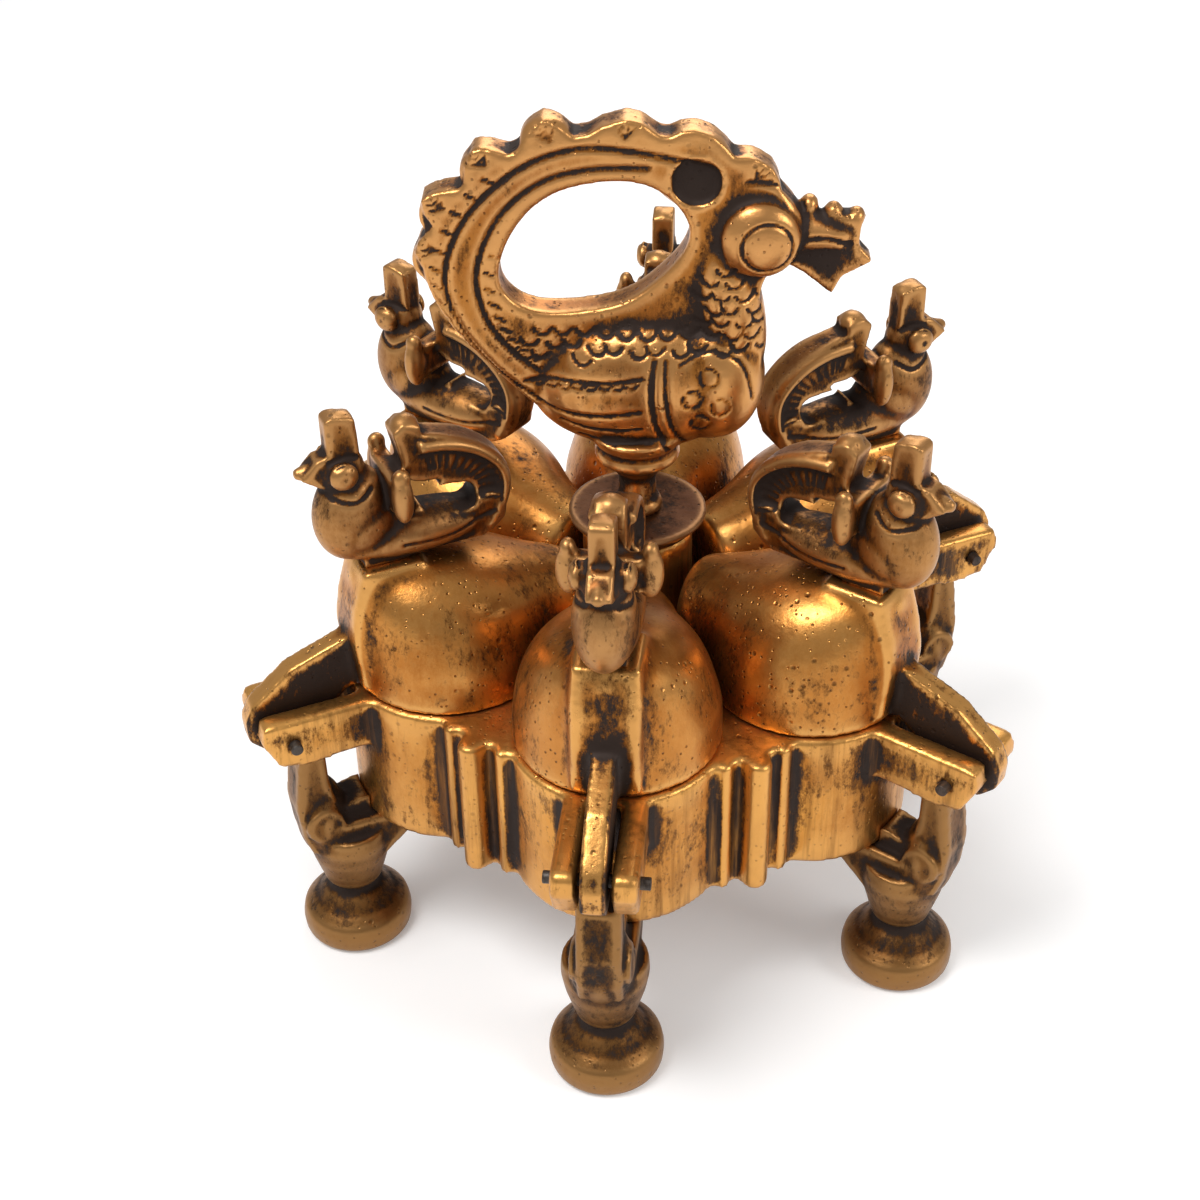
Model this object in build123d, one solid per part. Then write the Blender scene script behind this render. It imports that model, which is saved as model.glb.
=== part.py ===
from build123d import *
import os
from math import asin, atan2, cos, hypot, pi, radians, sin, sqrt, tan

# A brass powder box with six petal lids round a middle post, six bird legs under the lid hinges, a small bird
# on each lid and a large bird as the handle. All lengths are in millimetres and all angles in degrees.
# The origin is the middle of the six feet on the ground, +Z is up and the first lobe faces -Y.

# Plan of the six lobes
lobe_count = 6
front_angle = -90.0
lobe_centre_r = 40.8
lobe_wall_r = 20.9
lobe_step = 360.0 / lobe_count

# Base casting
leg_height = 32.0
base_height = 31.0
base_wall = 3.0
base_floor = 3.5
partition = 3.0
hub_r = 11.0
hub_rise = 20.3
bracket_reach = 57.0
bracket_width = 16.0
bracket_ridge_r = 2.6
bracket_rib_r = 1.0
bracket_flute_depth = 4.2

# Lids
lid_height = 27.0
lid_tip_height = 17.0
lid_wall = 2.6
lid_rim = 1.0
lid_arch = 2.5
arch_steps = 5
seat_width = 13.0
seat_length = 14.0
seat_rise = 0.9

# Hinges
hinge_reach = 14.3
pin_drop = 5.6
pin_r = 1.2
pin_length = 19.4
tongue_thick = 4.6
lug_thick = 4.8
lug_slot = 6.2
lug_height = 11.3
lug_nose = 6.3
tongue_nose_r = 7.9
tongue_top = 12.6

# Legs
leg_offset = 3.9
foot_r = 11.4
foot_height = 9.0
column_r = 5.2
column_top = 15.0
bowl_r = 8.6
bowl_height = 13.0
leg_head_r = 3.9
leg_head_width = 8.6
tenon_r = 2.6

# Lid birds
bird_length = 41.0
bird_height = 33.0
bird_plate = 7.6
bird_body_width = 10.4
bird_lean_in = 4.6
bird_foot_rise = 0.6
bird_foot_height = 3.3
bird_tenon_r = 2.2
bird_tenon_reach = 0.8
wing_span = 19.0

# Handle
collar_r = 13.7
collar_height = 3.6
handle_length = 84.0
handle_height = 82.5
handle_plate = 7.2
crest_plate = 4.0
eye_width = 11.6
eye_button_width = 13.6
handle_body_width = 19.0
handle_turn = 5.0
socket_r = 4.4
socket_depth = 1.3
stem_r = 3.9
stem_height = 12.2
foot_ring_r = 8.3
foot_ring_height = 4.0
stud_r = 3.2
stud_length = 26.0
stud_grip = 0.4

# Clearances
seam_gap = 0.2
lid_side_gap = 0.7
collar_rim_gap = 0.5
pin_running = 0.08
pin_seat = 0.02
tenon_fit = 0.02
stud_running = 0.10
groove_clearance = 0.6

# Sizes worked out from the ones above
base_top = leg_height + base_height
lobe_tip_r = lobe_centre_r + lobe_wall_r
pocket_r = lobe_wall_r - base_wall
lid_bottom = base_top + seam_gap
lid_round_r = lobe_wall_r - lid_rim
lid_end_r = lobe_centre_r + lid_round_r
lid_inner_r = collar_r + collar_rim_gap
half_step_tan = tan(radians(lobe_step / 2))
pin_axis_r = lobe_tip_r + hinge_reach
pin_z = base_top - pin_drop
lug_end_r = pin_axis_r + lug_nose
leg_axis_r = lobe_tip_r + leg_offset
hub_top = base_top + hub_rise
collar_bottom = hub_top + seam_gap
collar_top = collar_bottom + collar_height
seat_end_r = lid_end_r - 0.5
seat_top = lid_bottom + lid_height + seat_rise
handle_base = collar_top + seam_gap


def at_lobe(index, shape):
    """Turn a piece that is built on the +X axis to the lobe with this index."""
    return Rot(0, 0, front_angle + index * lobe_step) * shape


def side_plate(points, width):
    """Plate of the given width that stands on the X-Z plane, from its outline in X and Z."""
    outline = Polyline([(x, z) for x, z in points], close=True)
    plate = extrude(make_face(outline), width / 2, both=True)
    return Rot(90, 0, 0) * plate


def smooth_plate(points, width):
    """Plate on the X-Z plane with a smooth closed outline through the points."""
    outline = Spline([(x, z) for x, z in points], periodic=True)
    plate = extrude(make_face(outline), width / 2, both=True)
    return Rot(90, 0, 0) * plate


def egg(centre, size, tilt=0.0):
    """Egg-shaped swelling with full lengths in X, Y and Z, tilted about Y."""
    ball = scale(Sphere(0.5), by=size)
    return Pos(*centre) * Rot(0, tilt, 0) * ball


def turned(profile):
    """Solid turned about the Z axis from a profile in radius and height that starts and ends on the axis."""
    outline = Polyline([(r, z) for r, z in profile], close=True)
    return revolve(Plane.XZ * make_face(outline), Axis.Z)


def petal(centre_r, round_r, inner_r, inner_half):
    """Flat petal on the +X axis: a round outer end, and straight sides that meet a narrow inner end."""
    run = centre_r - inner_r
    reach = hypot(run, inner_half)
    direction = asin(round_r / reach) - atan2(inner_half, run)
    length = sqrt(reach ** 2 - round_r ** 2)
    touch_x = inner_r + length * cos(direction)
    touch_y = inner_half + length * sin(direction)
    outline = Line((inner_r, -inner_half), (touch_x, -touch_y))
    outline += ThreePointArc((touch_x, -touch_y), (centre_r + round_r, 0), (touch_x, touch_y))
    outline += Line((touch_x, touch_y), (inner_r, inner_half))
    outline += Line((inner_r, inner_half), (inner_r, -inner_half))
    return make_face(outline)


def bracket_plan():
    """Plan of one corner moulding on the +X axis: a middle ridge, two flutes and two ribs on a flat web."""
    web_r = bracket_reach - bracket_flute_depth
    root_r = 0.8 * lobe_centre_r
    plan = Pos((root_r + web_r) / 2, 0) * Rectangle(web_r - root_r, bracket_width)
    ridge_r = bracket_reach - bracket_ridge_r
    plan += Pos((root_r + ridge_r) / 2, 0) * Rectangle(ridge_r - root_r, 2 * bracket_ridge_r)
    plan += Pos(ridge_r, 0) * Circle(bracket_ridge_r)
    for side in (-1, 1):
        rib_y = side * (bracket_width / 2 - 1.8 * bracket_rib_r)
        plan += Pos(web_r, rib_y) * Rectangle(2.4 * bracket_rib_r, 2 * bracket_rib_r)
    return plan


def lug_pair():
    """The two lugs of one clevis, with the bores for the hinge pin, on the +X axis."""
    bottom = base_top - lug_height
    root_r = lobe_tip_r - base_wall / 2
    nose = [
        (root_r, bottom + 0.6),
        (pin_axis_r - 0.2 * lug_nose, bottom),
        (pin_axis_r + 0.5 * lug_nose, bottom + 0.8),
        (lug_end_r, pin_z + 1.4),
        (lug_end_r - 0.6, base_top - 0.5),
        (lug_end_r - 1.8, base_top),
        (root_r, base_top),
    ]
    lug_y = (lug_slot + lug_thick) / 2
    plate = side_plate(nose, lug_thick)
    bore = Pos(pin_axis_r, 0, pin_z) * Rot(90, 0, 0) * Cylinder(pin_r + pin_seat, 2 * lug_slot + 2 * lug_thick)
    return [Pos(0, side * lug_y, 0) * plate - bore for side in (-1, 1)]


def make_base():
    """The lobed cup with its pockets, middle hub, corner mouldings, clevis lugs and leg sockets."""
    plan = Circle(lobe_centre_r)
    for index in range(lobe_count):
        turn = Rot(0, 0, front_angle + index * lobe_step)
        plan += turn * Pos(lobe_centre_r, 0) * Circle(lobe_wall_r)
        plan += turn * Rot(0, 0, lobe_step / 2) * bracket_plan()
    body = Pos(0, 0, leg_height) * extrude(plan, base_height)
    pocket_inner_r = hub_r + base_wall
    pocket_half = pocket_inner_r * half_step_tan - partition / 2 / cos(radians(lobe_step / 2))
    pocket = extrude(petal(lobe_centre_r, pocket_r, pocket_inner_r, pocket_half), base_height)
    pocket = Pos(0, 0, leg_height + base_floor) * pocket
    socket = Pos(tenon_axis_r(), 0, leg_height) * Cylinder(tenon_r + tenon_fit, 3 * base_floor)
    for index in range(lobe_count):
        body -= at_lobe(index, pocket)
        body -= at_lobe(index, socket)
    for index in range(lobe_count):
        for lug in lug_pair():
            body += at_lobe(index, lug)
    hub_height = hub_top - leg_height
    body += Pos(0, 0, leg_height + hub_height / 2) * Cylinder(hub_r, hub_height)
    bore_depth = stud_depth() + 2.0
    body -= Pos(0, 0, hub_top - bore_depth / 2) * Cylinder(stud_r + stud_running, bore_depth)
    return body


def tenon_axis_r():
    """Radius at which the leg tenons stand, in the pocket floor just inside the lobe wall."""
    return lobe_tip_r - base_wall - 1.6 * tenon_r


def stud_depth():
    """How far the stud reaches below the top of the hub."""
    return stud_length - (handle_base + stud_grip * stem_height - hub_top)


def make_leg():
    """One leg: a mushroom foot, a column, a bowl-shaped bird body and a head under the clevis."""
    bowl_top = column_top + bowl_height
    profile = [
        (0, 0),
        (0.90 * foot_r, 0),
        (0.98 * foot_r, 0.12 * foot_height),
        (foot_r, 0.42 * foot_height),
        (0.96 * foot_r, 0.68 * foot_height),
        (0.78 * foot_r, 0.90 * foot_height),
        (1.35 * column_r, foot_height),
        (1.30 * column_r, foot_height + 1.2),
        (column_r, foot_height + 1.6),
        (0.96 * column_r, column_top - 1.6),
        (1.16 * column_r, column_top - 1.0),
        (1.18 * column_r, column_top),
        (0.78 * bowl_r, column_top + 0.12 * bowl_height),
        (0.92 * bowl_r, column_top + 0.45 * bowl_height),
        (bowl_r, column_top + 0.75 * bowl_height),
        (0.97 * bowl_r, bowl_top),
        (0, bowl_top),
    ]
    leg = Pos(leg_axis_r, 0, 0) * turned(profile)
    shelf_in = tenon_axis_r() - 1.5 * tenon_r
    shelf = [
        (shelf_in, leg_height),
        (shelf_in, leg_height - 3.0),
        (leg_axis_r - 0.7 * bowl_r, column_top + 0.5 * bowl_height),
        (leg_axis_r + 0.5 * bowl_r, column_top + 0.5 * bowl_height),
        (leg_axis_r + 0.5 * bowl_r, leg_height),
    ]
    leg += side_plate(shelf, 1.45 * bowl_r)
    back = [
        (lobe_tip_r - 0.5, bowl_top - 2.0),
        (lobe_tip_r - 0.5, leg_height + 4.4),
        (lobe_tip_r + 2.0, leg_height + 4.0),
        (pin_axis_r - 7.0, leg_height + 2.6),
        (pin_axis_r - 3.0, bowl_top),
        (leg_axis_r, bowl_top - 2.0),
    ]
    leg += side_plate(back, 0.9 * bowl_r)
    head_top = base_top - lug_height
    head = [
        (pin_axis_r - 1.6, bowl_top - 3.2),
        (pin_axis_r - 0.1, bowl_top + 1.5),
        (pin_axis_r + 0.6, bowl_top + 9.0),
        (pin_axis_r - 0.8, head_top - 3.4),
        (pin_axis_r - 2.2, head_top),
        (pin_axis_r - 6.4, head_top),
        (pin_axis_r - 6.6, head_top - 8.0),
        (pin_axis_r - 8.4, bowl_top + 1.0),
        (pin_axis_r - 6.0, bowl_top - 3.4),
    ]
    leg += side_plate(head, leg_head_width)
    cheek_z = bowl_top + 4.6
    cheek = Pos(pin_axis_r - 4.5, 0, cheek_z) * Rot(90, 0, 0) * Cylinder(leg_head_r, leg_head_width + 3.0)
    leg += cheek
    wall_ring = Pos(0, 0, leg_height + base_height / 2)
    leg -= wall_ring * Pos(lobe_centre_r, 0, 0) * Cylinder(lobe_wall_r + tenon_fit, base_height)
    swing = Pos(pin_axis_r, 0, pin_z) * Rot(90, 0, 0) * Cylinder(tongue_reach() + groove_clearance, lug_slot)
    leg -= swing
    leg += Pos(tenon_axis_r(), 0, leg_height + base_floor / 2) * Cylinder(tenon_r, base_floor)
    return leg


def tongue_reach():
    """Largest distance from the pin's axis to the rounded end of the tongue."""
    return hypot(tongue_nose_r, 3.2)


def lid_width(r):
    """Half width of a lid at this radius: a round outer end, and straight sides towards the middle."""
    straight = r * half_step_tan - lid_side_gap / cos(radians(lobe_step / 2))
    if r <= lobe_centre_r - lid_round_r / 2:
        return straight
    round_half = sqrt(max(lid_round_r ** 2 - (r - lobe_centre_r) ** 2, 0.0))
    return min(straight, round_half)


def lid_rise(r):
    """Height of a lid's ridge above its rim at this radius: low in the middle of the box, high over the seat."""
    share = (r - lid_inner_r) / (lid_end_r - lid_inner_r)
    return lid_tip_height + (lid_height - lid_tip_height) * sin(min(share / 0.72, 1.0) * pi / 2) ** 1.25


def arch_face(r, half, rise, floor_z):
    """Arch-shaped face across the lid at this radius, from a rim at floor_z."""
    left = (-half, floor_z)
    right = (half, floor_z)
    crown = []
    for index in range(-arch_steps + 1, arch_steps):
        turn = pi / 2 * index / arch_steps
        side = -1 if index < 0 else 1
        y = side * half * abs(sin(turn)) ** (2 / lid_arch)
        z = floor_z + rise * cos(turn) ** (2 / lid_arch)
        crown.append((y, z))
    arch = Spline([left] + crown + [right], tangents=[(0, 1), (0, -1)])
    face = make_face(arch + Line(right, left))
    return Plane(origin=(r, 0, 0), x_dir=(0, 1, 0), z_dir=(1, 0, 0)) * face


def lid_shell(inset, drop):
    """The lid's domed body, or with an inset its hollow, lofted through arches from the tip to the outer end."""
    start = lid_inner_r + inset
    end = seat_end_r - inset
    shares = (0.0, 0.16, 0.31, 0.41, 0.51, 0.64, 0.76, 0.86, 0.94, 1.0)
    arches = []
    for share in shares:
        r = start + share * (end - start)
        half = lid_width(r) - inset
        if share > 0.7:
            reach = lid_round_r - inset
            half = sqrt(max(reach ** 2 - (r - lobe_centre_r) ** 2, 0.0))
        fall = 0.9 * max(share - 0.75, 0.0) ** 2 * lid_height
        rise = lid_rise(r) - inset - fall + drop
        arches.append(arch_face(r, half, rise, lid_bottom - drop))
    return loft(arches)


def lid_sector():
    """Room of one lid: a sixth of the box, with half the side gap left along both of its sides."""
    tip_r = lid_side_gap
    far_r = 2 * lobe_tip_r
    far_half = (far_r - tip_r) * half_step_tan
    face = make_face(Polyline([(tip_r, 0), (far_r, -far_half), (far_r, far_half)], close=True))
    return Pos(0, 0, lid_bottom) * extrude(face, 2 * lid_height)


def make_lid():
    """One hollow petal lid with its bird seat, hinge tongue and the holes for bird tenon and pin."""
    lid = lid_shell(0.0, 0.0) & lid_sector()
    seat_in = seat_end_r - seat_length
    seat = [
        (seat_in, seat_top - 3.0),
        (seat_in, seat_top),
        (seat_end_r - 1.6, seat_top),
        (seat_end_r + 1.0, lid_bottom + 0.70 * lid_height),
        (seat_end_r + 1.8, lid_bottom + 0.45 * lid_height),
        (seat_end_r + 0.8, lid_bottom + 1.5),
        (seat_end_r - 1.5, lid_bottom + 1.0),
        (seat_end_r - 3.0, seat_top - 6.0),
    ]
    lid += side_plate(seat, seat_width)
    lid -= lid_shell(lid_wall, 1.0)
    tenon_z = lid_bottom + lid_height
    lid -= Pos(bird_seat_r(), 0, tenon_z) * Cylinder(bird_tenon_r + tenon_fit, 4 * lid_wall)
    root_r = seat_end_r - 0.4
    tongue = [
        (root_r, lid_bottom + 0.4),
        (root_r, lid_bottom + tongue_top),
        (lid_end_r + 1.2, lid_bottom + tongue_top - 0.4),
        (pin_axis_r - 2.0, lid_bottom + 0.62 * tongue_top),
        (pin_axis_r + 0.78 * tongue_nose_r, pin_z + 7.0),
        (pin_axis_r + tongue_nose_r, pin_z + 3.2),
        (pin_axis_r + tongue_nose_r - 0.4, pin_z - 1.2),
        (pin_axis_r + 0.55 * tongue_nose_r, pin_z - 4.4),
        (pin_axis_r - 0.1 * tongue_nose_r, pin_z - 4.9),
        (pin_axis_r - 0.7 * tongue_nose_r, pin_z - 2.0),
        (lobe_tip_r + 2.4, base_top - 0.8),
        (lobe_tip_r + 0.8, lid_bottom + 0.2),
    ]
    lid += side_plate(tongue, tongue_thick)
    lid -= Pos(pin_axis_r, 0, pin_z) * Rot(90, 0, 0) * Cylinder(pin_r + pin_running, 2 * tongue_thick)
    return lid


def bird_seat_r():
    """Radius of the small birds' tenons, in the middle of the seat."""
    return seat_end_r - seat_length / 2


def bird_point(u, v):
    """Point of a small bird from shares of its length outwards from the seat and its height above the seat."""
    return (bird_seat_r() - bird_lean_in + u * bird_length, seat_top + v * bird_height)


def make_lid_bird():
    """One small bird that looks outwards: boat-shaped body, looped tail, crown block and two wing lugs."""
    hull = [
        bird_point(-0.46, 0.10),
        bird_point(-0.36, 0.02),
        bird_point(0.05, 0.03),
        bird_point(0.24, 0.12),
        bird_point(0.335, 0.30),
        bird_point(0.34, 0.47),
        bird_point(0.20, 0.47),
        bird_point(0.12, 0.31),
        bird_point(-0.03, 0.26),
        bird_point(-0.26, 0.24),
        bird_point(-0.44, 0.28),
    ]
    bird = smooth_plate(hull, bird_plate)
    bird += egg(spot(0.17, 0.25), (0.42 * bird_length, bird_body_width, 0.40 * bird_height), -25)
    bird += egg(spot(-0.12, 0.14), (0.62 * bird_length, bird_body_width, 0.24 * bird_height))
    loop_outer = [
        bird_point(-0.42, 0.06),
        bird_point(-0.515, 0.28),
        bird_point(-0.49, 0.48),
        bird_point(-0.36, 0.64),
        bird_point(-0.20, 0.73),
        bird_point(-0.06, 0.74),
        bird_point(-0.04, 0.48),
        bird_point(-0.18, 0.44),
        bird_point(-0.02, 0.24),
        bird_point(-0.22, 0.08),
    ]
    loop = smooth_plate(loop_outer, 0.72 * bird_plate)
    hole = smooth_plate([
        bird_point(-0.34, 0.28),
        bird_point(-0.32, 0.37),
        bird_point(-0.20, 0.40),
        bird_point(-0.09, 0.39),
        bird_point(-0.08, 0.29),
        bird_point(-0.20, 0.24),
    ], 3 * bird_plate)
    bird += loop
    bird -= hole
    block = [
        bird_point(-0.11, 0.56),
        bird_point(-0.01, 0.58),
        bird_point(0.03, 0.80),
        bird_point(-0.02, 0.85),
        bird_point(-0.10, 0.82),
    ]
    bird += side_plate(block, 0.75 * bird_plate)
    bird += egg(spot(0.27, 0.62), (0.23 * bird_length, 1.05 * bird_plate, 0.30 * bird_height))
    crown = [
        bird_point(0.18, 0.68),
        bird_point(0.33, 0.70),
        bird_point(0.33, 0.96),
        bird_point(0.29, 0.98),
        bird_point(0.19, 0.95),
    ]
    bird += side_plate(crown, 0.60 * bird_plate)
    beak = [
        bird_point(0.30, 0.75),
        bird_point(0.38, 0.73),
        bird_point(0.46, 0.63),
        bird_point(0.37, 0.55),
        bird_point(0.30, 0.54),
    ]
    bird += side_plate(beak, 0.62 * bird_plate)
    bird += Pos(*spot(0.28, 0.645)) * Rot(90, 0, 0) * Cylinder(0.055 * bird_length, 1.22 * bird_plate)
    wing_x, wing_z = bird_point(0.04, 0.47)
    bird += Pos(wing_x, 0, wing_z) * Box(0.09 * bird_length, 1.5 * bird_plate, 0.20 * bird_height)
    for side in (-1, 1):
        wing_y = side * (wing_span / 2 - 0.13 * wing_span)
        bird += egg((wing_x, wing_y, wing_z), (0.10 * bird_length, 0.27 * wing_span, 0.32 * bird_height))
    under = Pos(bird_seat_r(), 0, seat_top - bird_height / 2 + bird_foot_rise)
    bird -= under * Box(2 * bird_length, 4 * bird_plate, bird_height)
    foot = Pos(bird_seat_r(), 0, seat_top + bird_foot_height / 2)
    bird += foot * Box(0.62 * seat_length, 0.6 * seat_width, bird_foot_height)
    tenon_depth = seat_rise + lid_wall + bird_tenon_reach
    bird += Pos(bird_seat_r(), 0, seat_top - tenon_depth / 2) * Cylinder(bird_tenon_r, tenon_depth)
    return bird


def spot(u, v):
    """Point in the small birds' middle plane, as X, Y and Z."""
    x, z = bird_point(u, v)
    return (x, 0, z)


def make_hinge_pin():
    """One cut iron nail with slightly domed ends."""
    pin = Cylinder(pin_r, pin_length)
    pin = chamfer(pin.edges().filter_by(GeomType.CIRCLE), 0.25 * pin_r)
    return Pos(pin_axis_r, 0, pin_z) * Rot(90, 0, 0) * pin


def make_collar():
    """Round disc that closes the middle: flat top, thin rim and a side that tapers in below."""
    rim = 0.28 * collar_height
    neck_bore = stud_r + stud_running + 0.3
    profile = [
        (neck_bore, collar_bottom),
        (0.82 * collar_r, collar_bottom),
        (0.95 * collar_r, collar_top - 1.6 * rim),
        (collar_r, collar_top - rim),
        (collar_r, collar_top - 0.3 * rim),
        (0.985 * collar_r, collar_top),
        (neck_bore, collar_top),
    ]
    return turned(profile)


def handle_point(u, v):
    """Point of the large bird from shares of its length along the beak side and its height above the collar."""
    return (u * handle_length, handle_base + v * handle_height)


def handle_spot(u, v):
    """Point in the large bird's middle plane, as X, Y and Z."""
    x, z = handle_point(u, v)
    return (x, 0, z)


def make_handle():
    """The large bird: swollen body, neck and head, and a tail that closes to a scalloped ring."""
    bird = smooth_plate([
        handle_point(-0.06, 0.190),
        handle_point(-0.165, 0.245),
        handle_point(-0.26, 0.330),
        handle_point(-0.34, 0.415),
        handle_point(-0.425, 0.530),
        handle_point(-0.462, 0.650),
        handle_point(-0.432, 0.760),
        handle_point(-0.360, 0.850),
        handle_point(-0.280, 0.908),
        handle_point(-0.180, 0.944),
        handle_point(-0.070, 0.960),
        handle_point(0.050, 0.955),
        handle_point(0.160, 0.925),
        handle_point(0.260, 0.865),
        handle_point(0.345, 0.780),
        handle_point(0.360, 0.700),
        handle_point(0.295, 0.645),
        handle_point(0.268, 0.570),
        handle_point(0.272, 0.470),
        handle_point(0.278, 0.390),
        handle_point(0.255, 0.310),
        handle_point(0.190, 0.240),
        handle_point(0.085, 0.190),
    ], handle_plate)
    opening = smooth_plate([
        handle_point(-0.300, 0.640),
        handle_point(-0.265, 0.735),
        handle_point(-0.190, 0.815),
        handle_point(-0.090, 0.848),
        handle_point(0.020, 0.842),
        handle_point(0.084, 0.798),
        handle_point(0.114, 0.735),
        handle_point(0.050, 0.620),
        handle_point(-0.030, 0.562),
        handle_point(-0.130, 0.540),
        handle_point(-0.225, 0.542),
        handle_point(-0.280, 0.575),
    ], 3 * handle_body_width)
    body_size = (0.49 * handle_length, handle_body_width, 0.32 * handle_height)
    bird += egg(handle_spot(0.030, 0.360), body_size, 4)
    breast_size = (0.22 * handle_length, 0.90 * handle_body_width, 0.31 * handle_height)
    bird += egg(handle_spot(0.165, 0.355), breast_size)
    neck_size = (0.15 * handle_length, 0.66 * handle_body_width, 0.40 * handle_height)
    bird += egg(handle_spot(0.205, 0.54), neck_size, -12)
    bird -= opening
    scallops = (
        (-0.436, 0.658, 0.054),
        (-0.412, 0.765, 0.056),
        (-0.320, 0.866, 0.055),
        (-0.188, 0.934, 0.057),
        (-0.020, 0.924, 0.064),
        (0.120, 0.874, 0.088),
        (0.236, 0.830, 0.060),
    )
    for u, v, share in scallops:
        bird += Pos(*handle_spot(u, v)) * Rot(90, 0, 0) * Cylinder(share * handle_length, crest_plate)
    for side in (-1, 1):
        socket = Pos(*handle_spot(0.127, 0.851)) * Pos(0, side * handle_plate / 2, 0)
        bird -= socket * Rot(90, 0, 0) * Cylinder(socket_r, socket_depth * 2)
    eye = Pos(*handle_spot(0.265, 0.722))
    bird += eye * Rot(90, 0, 0) * Cylinder(0.083 * handle_length, eye_width)
    bird += eye * Rot(90, 0, 0) * Cylinder(0.046 * handle_length, eye_button_width)
    beak = [
        handle_point(0.300, 0.785),
        handle_point(0.370, 0.775),
        handle_point(0.400, 0.752),
        handle_point(0.453, 0.765),
        handle_point(0.482, 0.745),
        handle_point(0.478, 0.695),
        handle_point(0.512, 0.657),
        handle_point(0.445, 0.620),
        handle_point(0.426, 0.576),
        handle_point(0.362, 0.630),
        handle_point(0.300, 0.665),
    ]
    bird += side_plate(beak, 0.66 * handle_plate)
    foot_z = handle_base + stem_height
    bead = 0.12 * stem_height
    profile = [
        (0, handle_base),
        (1.28 * stem_r, handle_base),
        (1.28 * stem_r, handle_base + bead),
        (stem_r, handle_base + 2 * bead),
        (0.94 * stem_r, foot_z - 3 * bead),
        (1.25 * stem_r, foot_z - 2 * bead),
        (0.72 * foot_ring_r, foot_z - bead),
        (foot_ring_r, foot_z),
        (foot_ring_r, foot_z + 0.4 * foot_ring_height),
        (0.86 * foot_ring_r, foot_z + 0.6 * foot_ring_height),
        (1.06 * foot_ring_r, foot_z + foot_ring_height),
        (1.20 * foot_ring_r, foot_z + 1.6 * foot_ring_height),
        (0, foot_z + 1.6 * foot_ring_height),
    ]
    bird += turned(profile)
    bore_top = handle_base + stud_grip * stem_height
    bird -= Pos(0, 0, (handle_base + bore_top) / 2) * Cylinder(stud_r + tenon_fit, bore_top - handle_base)
    return Rot(0, 0, handle_turn) * bird


def make_stud():
    """The screw under the handle: it passes through the collar and turns in the hub."""
    top = handle_base + stud_grip * stem_height
    stud = Pos(0, 0, top - stud_length / 2) * Cylinder(stud_r, stud_length)
    return chamfer(stud.edges().filter_by(GeomType.CIRCLE).sort_by(Axis.Z)[:1], 0.2 * stud_r)


def write(name, shape, colour):
    """Write one piece to its own file."""
    shape.label = name
    shape.color = Color(*colour)
    export_step(shape, os.path.join("parts", name + ".step"))


def main():
    """Build every piece and write it."""
    os.makedirs("parts", exist_ok=True)
    brass = (0.72, 0.48, 0.20)
    dark = (0.25, 0.17, 0.12)
    iron = (0.20, 0.19, 0.18)
    write("base", make_base(), brass)
    leg = make_leg()
    lid = make_lid()
    bird = make_lid_bird()
    pin = make_hinge_pin()
    for index in range(lobe_count):
        number = str(index + 1)
        write("leg_" + number, at_lobe(index, leg), brass)
        write("lid_" + number, at_lobe(index, lid), brass)
        write("lid_bird_" + number, at_lobe(index, bird), brass)
        write("hinge_pin_" + number, at_lobe(index, pin), iron)
    write("collar", make_collar(), dark)
    write("handle_bird", make_handle(), brass)
    write("handle_stud", make_stud(), dark)


main()
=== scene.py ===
import logging
import math
from dataclasses import dataclass
from enum import Enum
from functools import reduce

import bpy
import numpy as np
from mathutils import Matrix, Vector


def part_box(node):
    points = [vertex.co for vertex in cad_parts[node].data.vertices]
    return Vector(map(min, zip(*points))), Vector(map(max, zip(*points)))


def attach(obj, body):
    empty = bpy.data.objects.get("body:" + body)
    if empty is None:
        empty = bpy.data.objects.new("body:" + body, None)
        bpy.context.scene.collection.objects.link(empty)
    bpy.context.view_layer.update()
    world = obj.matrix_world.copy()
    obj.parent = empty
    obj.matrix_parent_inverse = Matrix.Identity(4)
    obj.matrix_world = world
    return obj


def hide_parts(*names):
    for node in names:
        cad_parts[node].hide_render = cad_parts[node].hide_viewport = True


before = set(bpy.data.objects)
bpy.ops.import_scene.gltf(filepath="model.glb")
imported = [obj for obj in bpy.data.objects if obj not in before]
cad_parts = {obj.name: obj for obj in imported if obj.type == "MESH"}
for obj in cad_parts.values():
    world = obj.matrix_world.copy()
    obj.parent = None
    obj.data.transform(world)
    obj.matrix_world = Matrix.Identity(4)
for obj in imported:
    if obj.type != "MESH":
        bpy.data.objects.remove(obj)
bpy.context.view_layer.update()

# Lengths in this file are in millimetres until a piece is made; the scene itself is in metres.
MM = 0.001
LOBES = 6
LOBE_STEP = math.radians(60.0)
FRONT_ANGLE = math.radians(-90.0)

Point2 = tuple[float, float]
Point3 = tuple[float, float, float]
Colour = tuple[float, float, float, float]
Piece = bpy.types.Object
Socket = bpy.types.NodeSocket
Inputs = dict[str | int, object]

log = logging.getLogger("powder_box")
logging.basicConfig(level=logging.INFO, format="%(name)s: %(message)s")


class Slot(Enum):
    """The record's finishes."""

    BRASS = "brass"
    DARK_BRASS = "brass_dark"
    PATINA = "patina"
    IRON = "iron"


# Small modelling helpers


def linked(name: str, data: bpy.types.ID) -> Piece:
    """New object in the scene with the given mesh or curve."""
    piece = bpy.data.objects.new(name, data)
    bpy.context.scene.collection.objects.link(piece)
    return piece


def only(piece: Piece) -> None:
    """Make one object the only selected and active one."""
    bpy.ops.object.select_all(action="DESELECT")
    piece.select_set(True)
    bpy.context.view_layer.objects.active = piece


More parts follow.
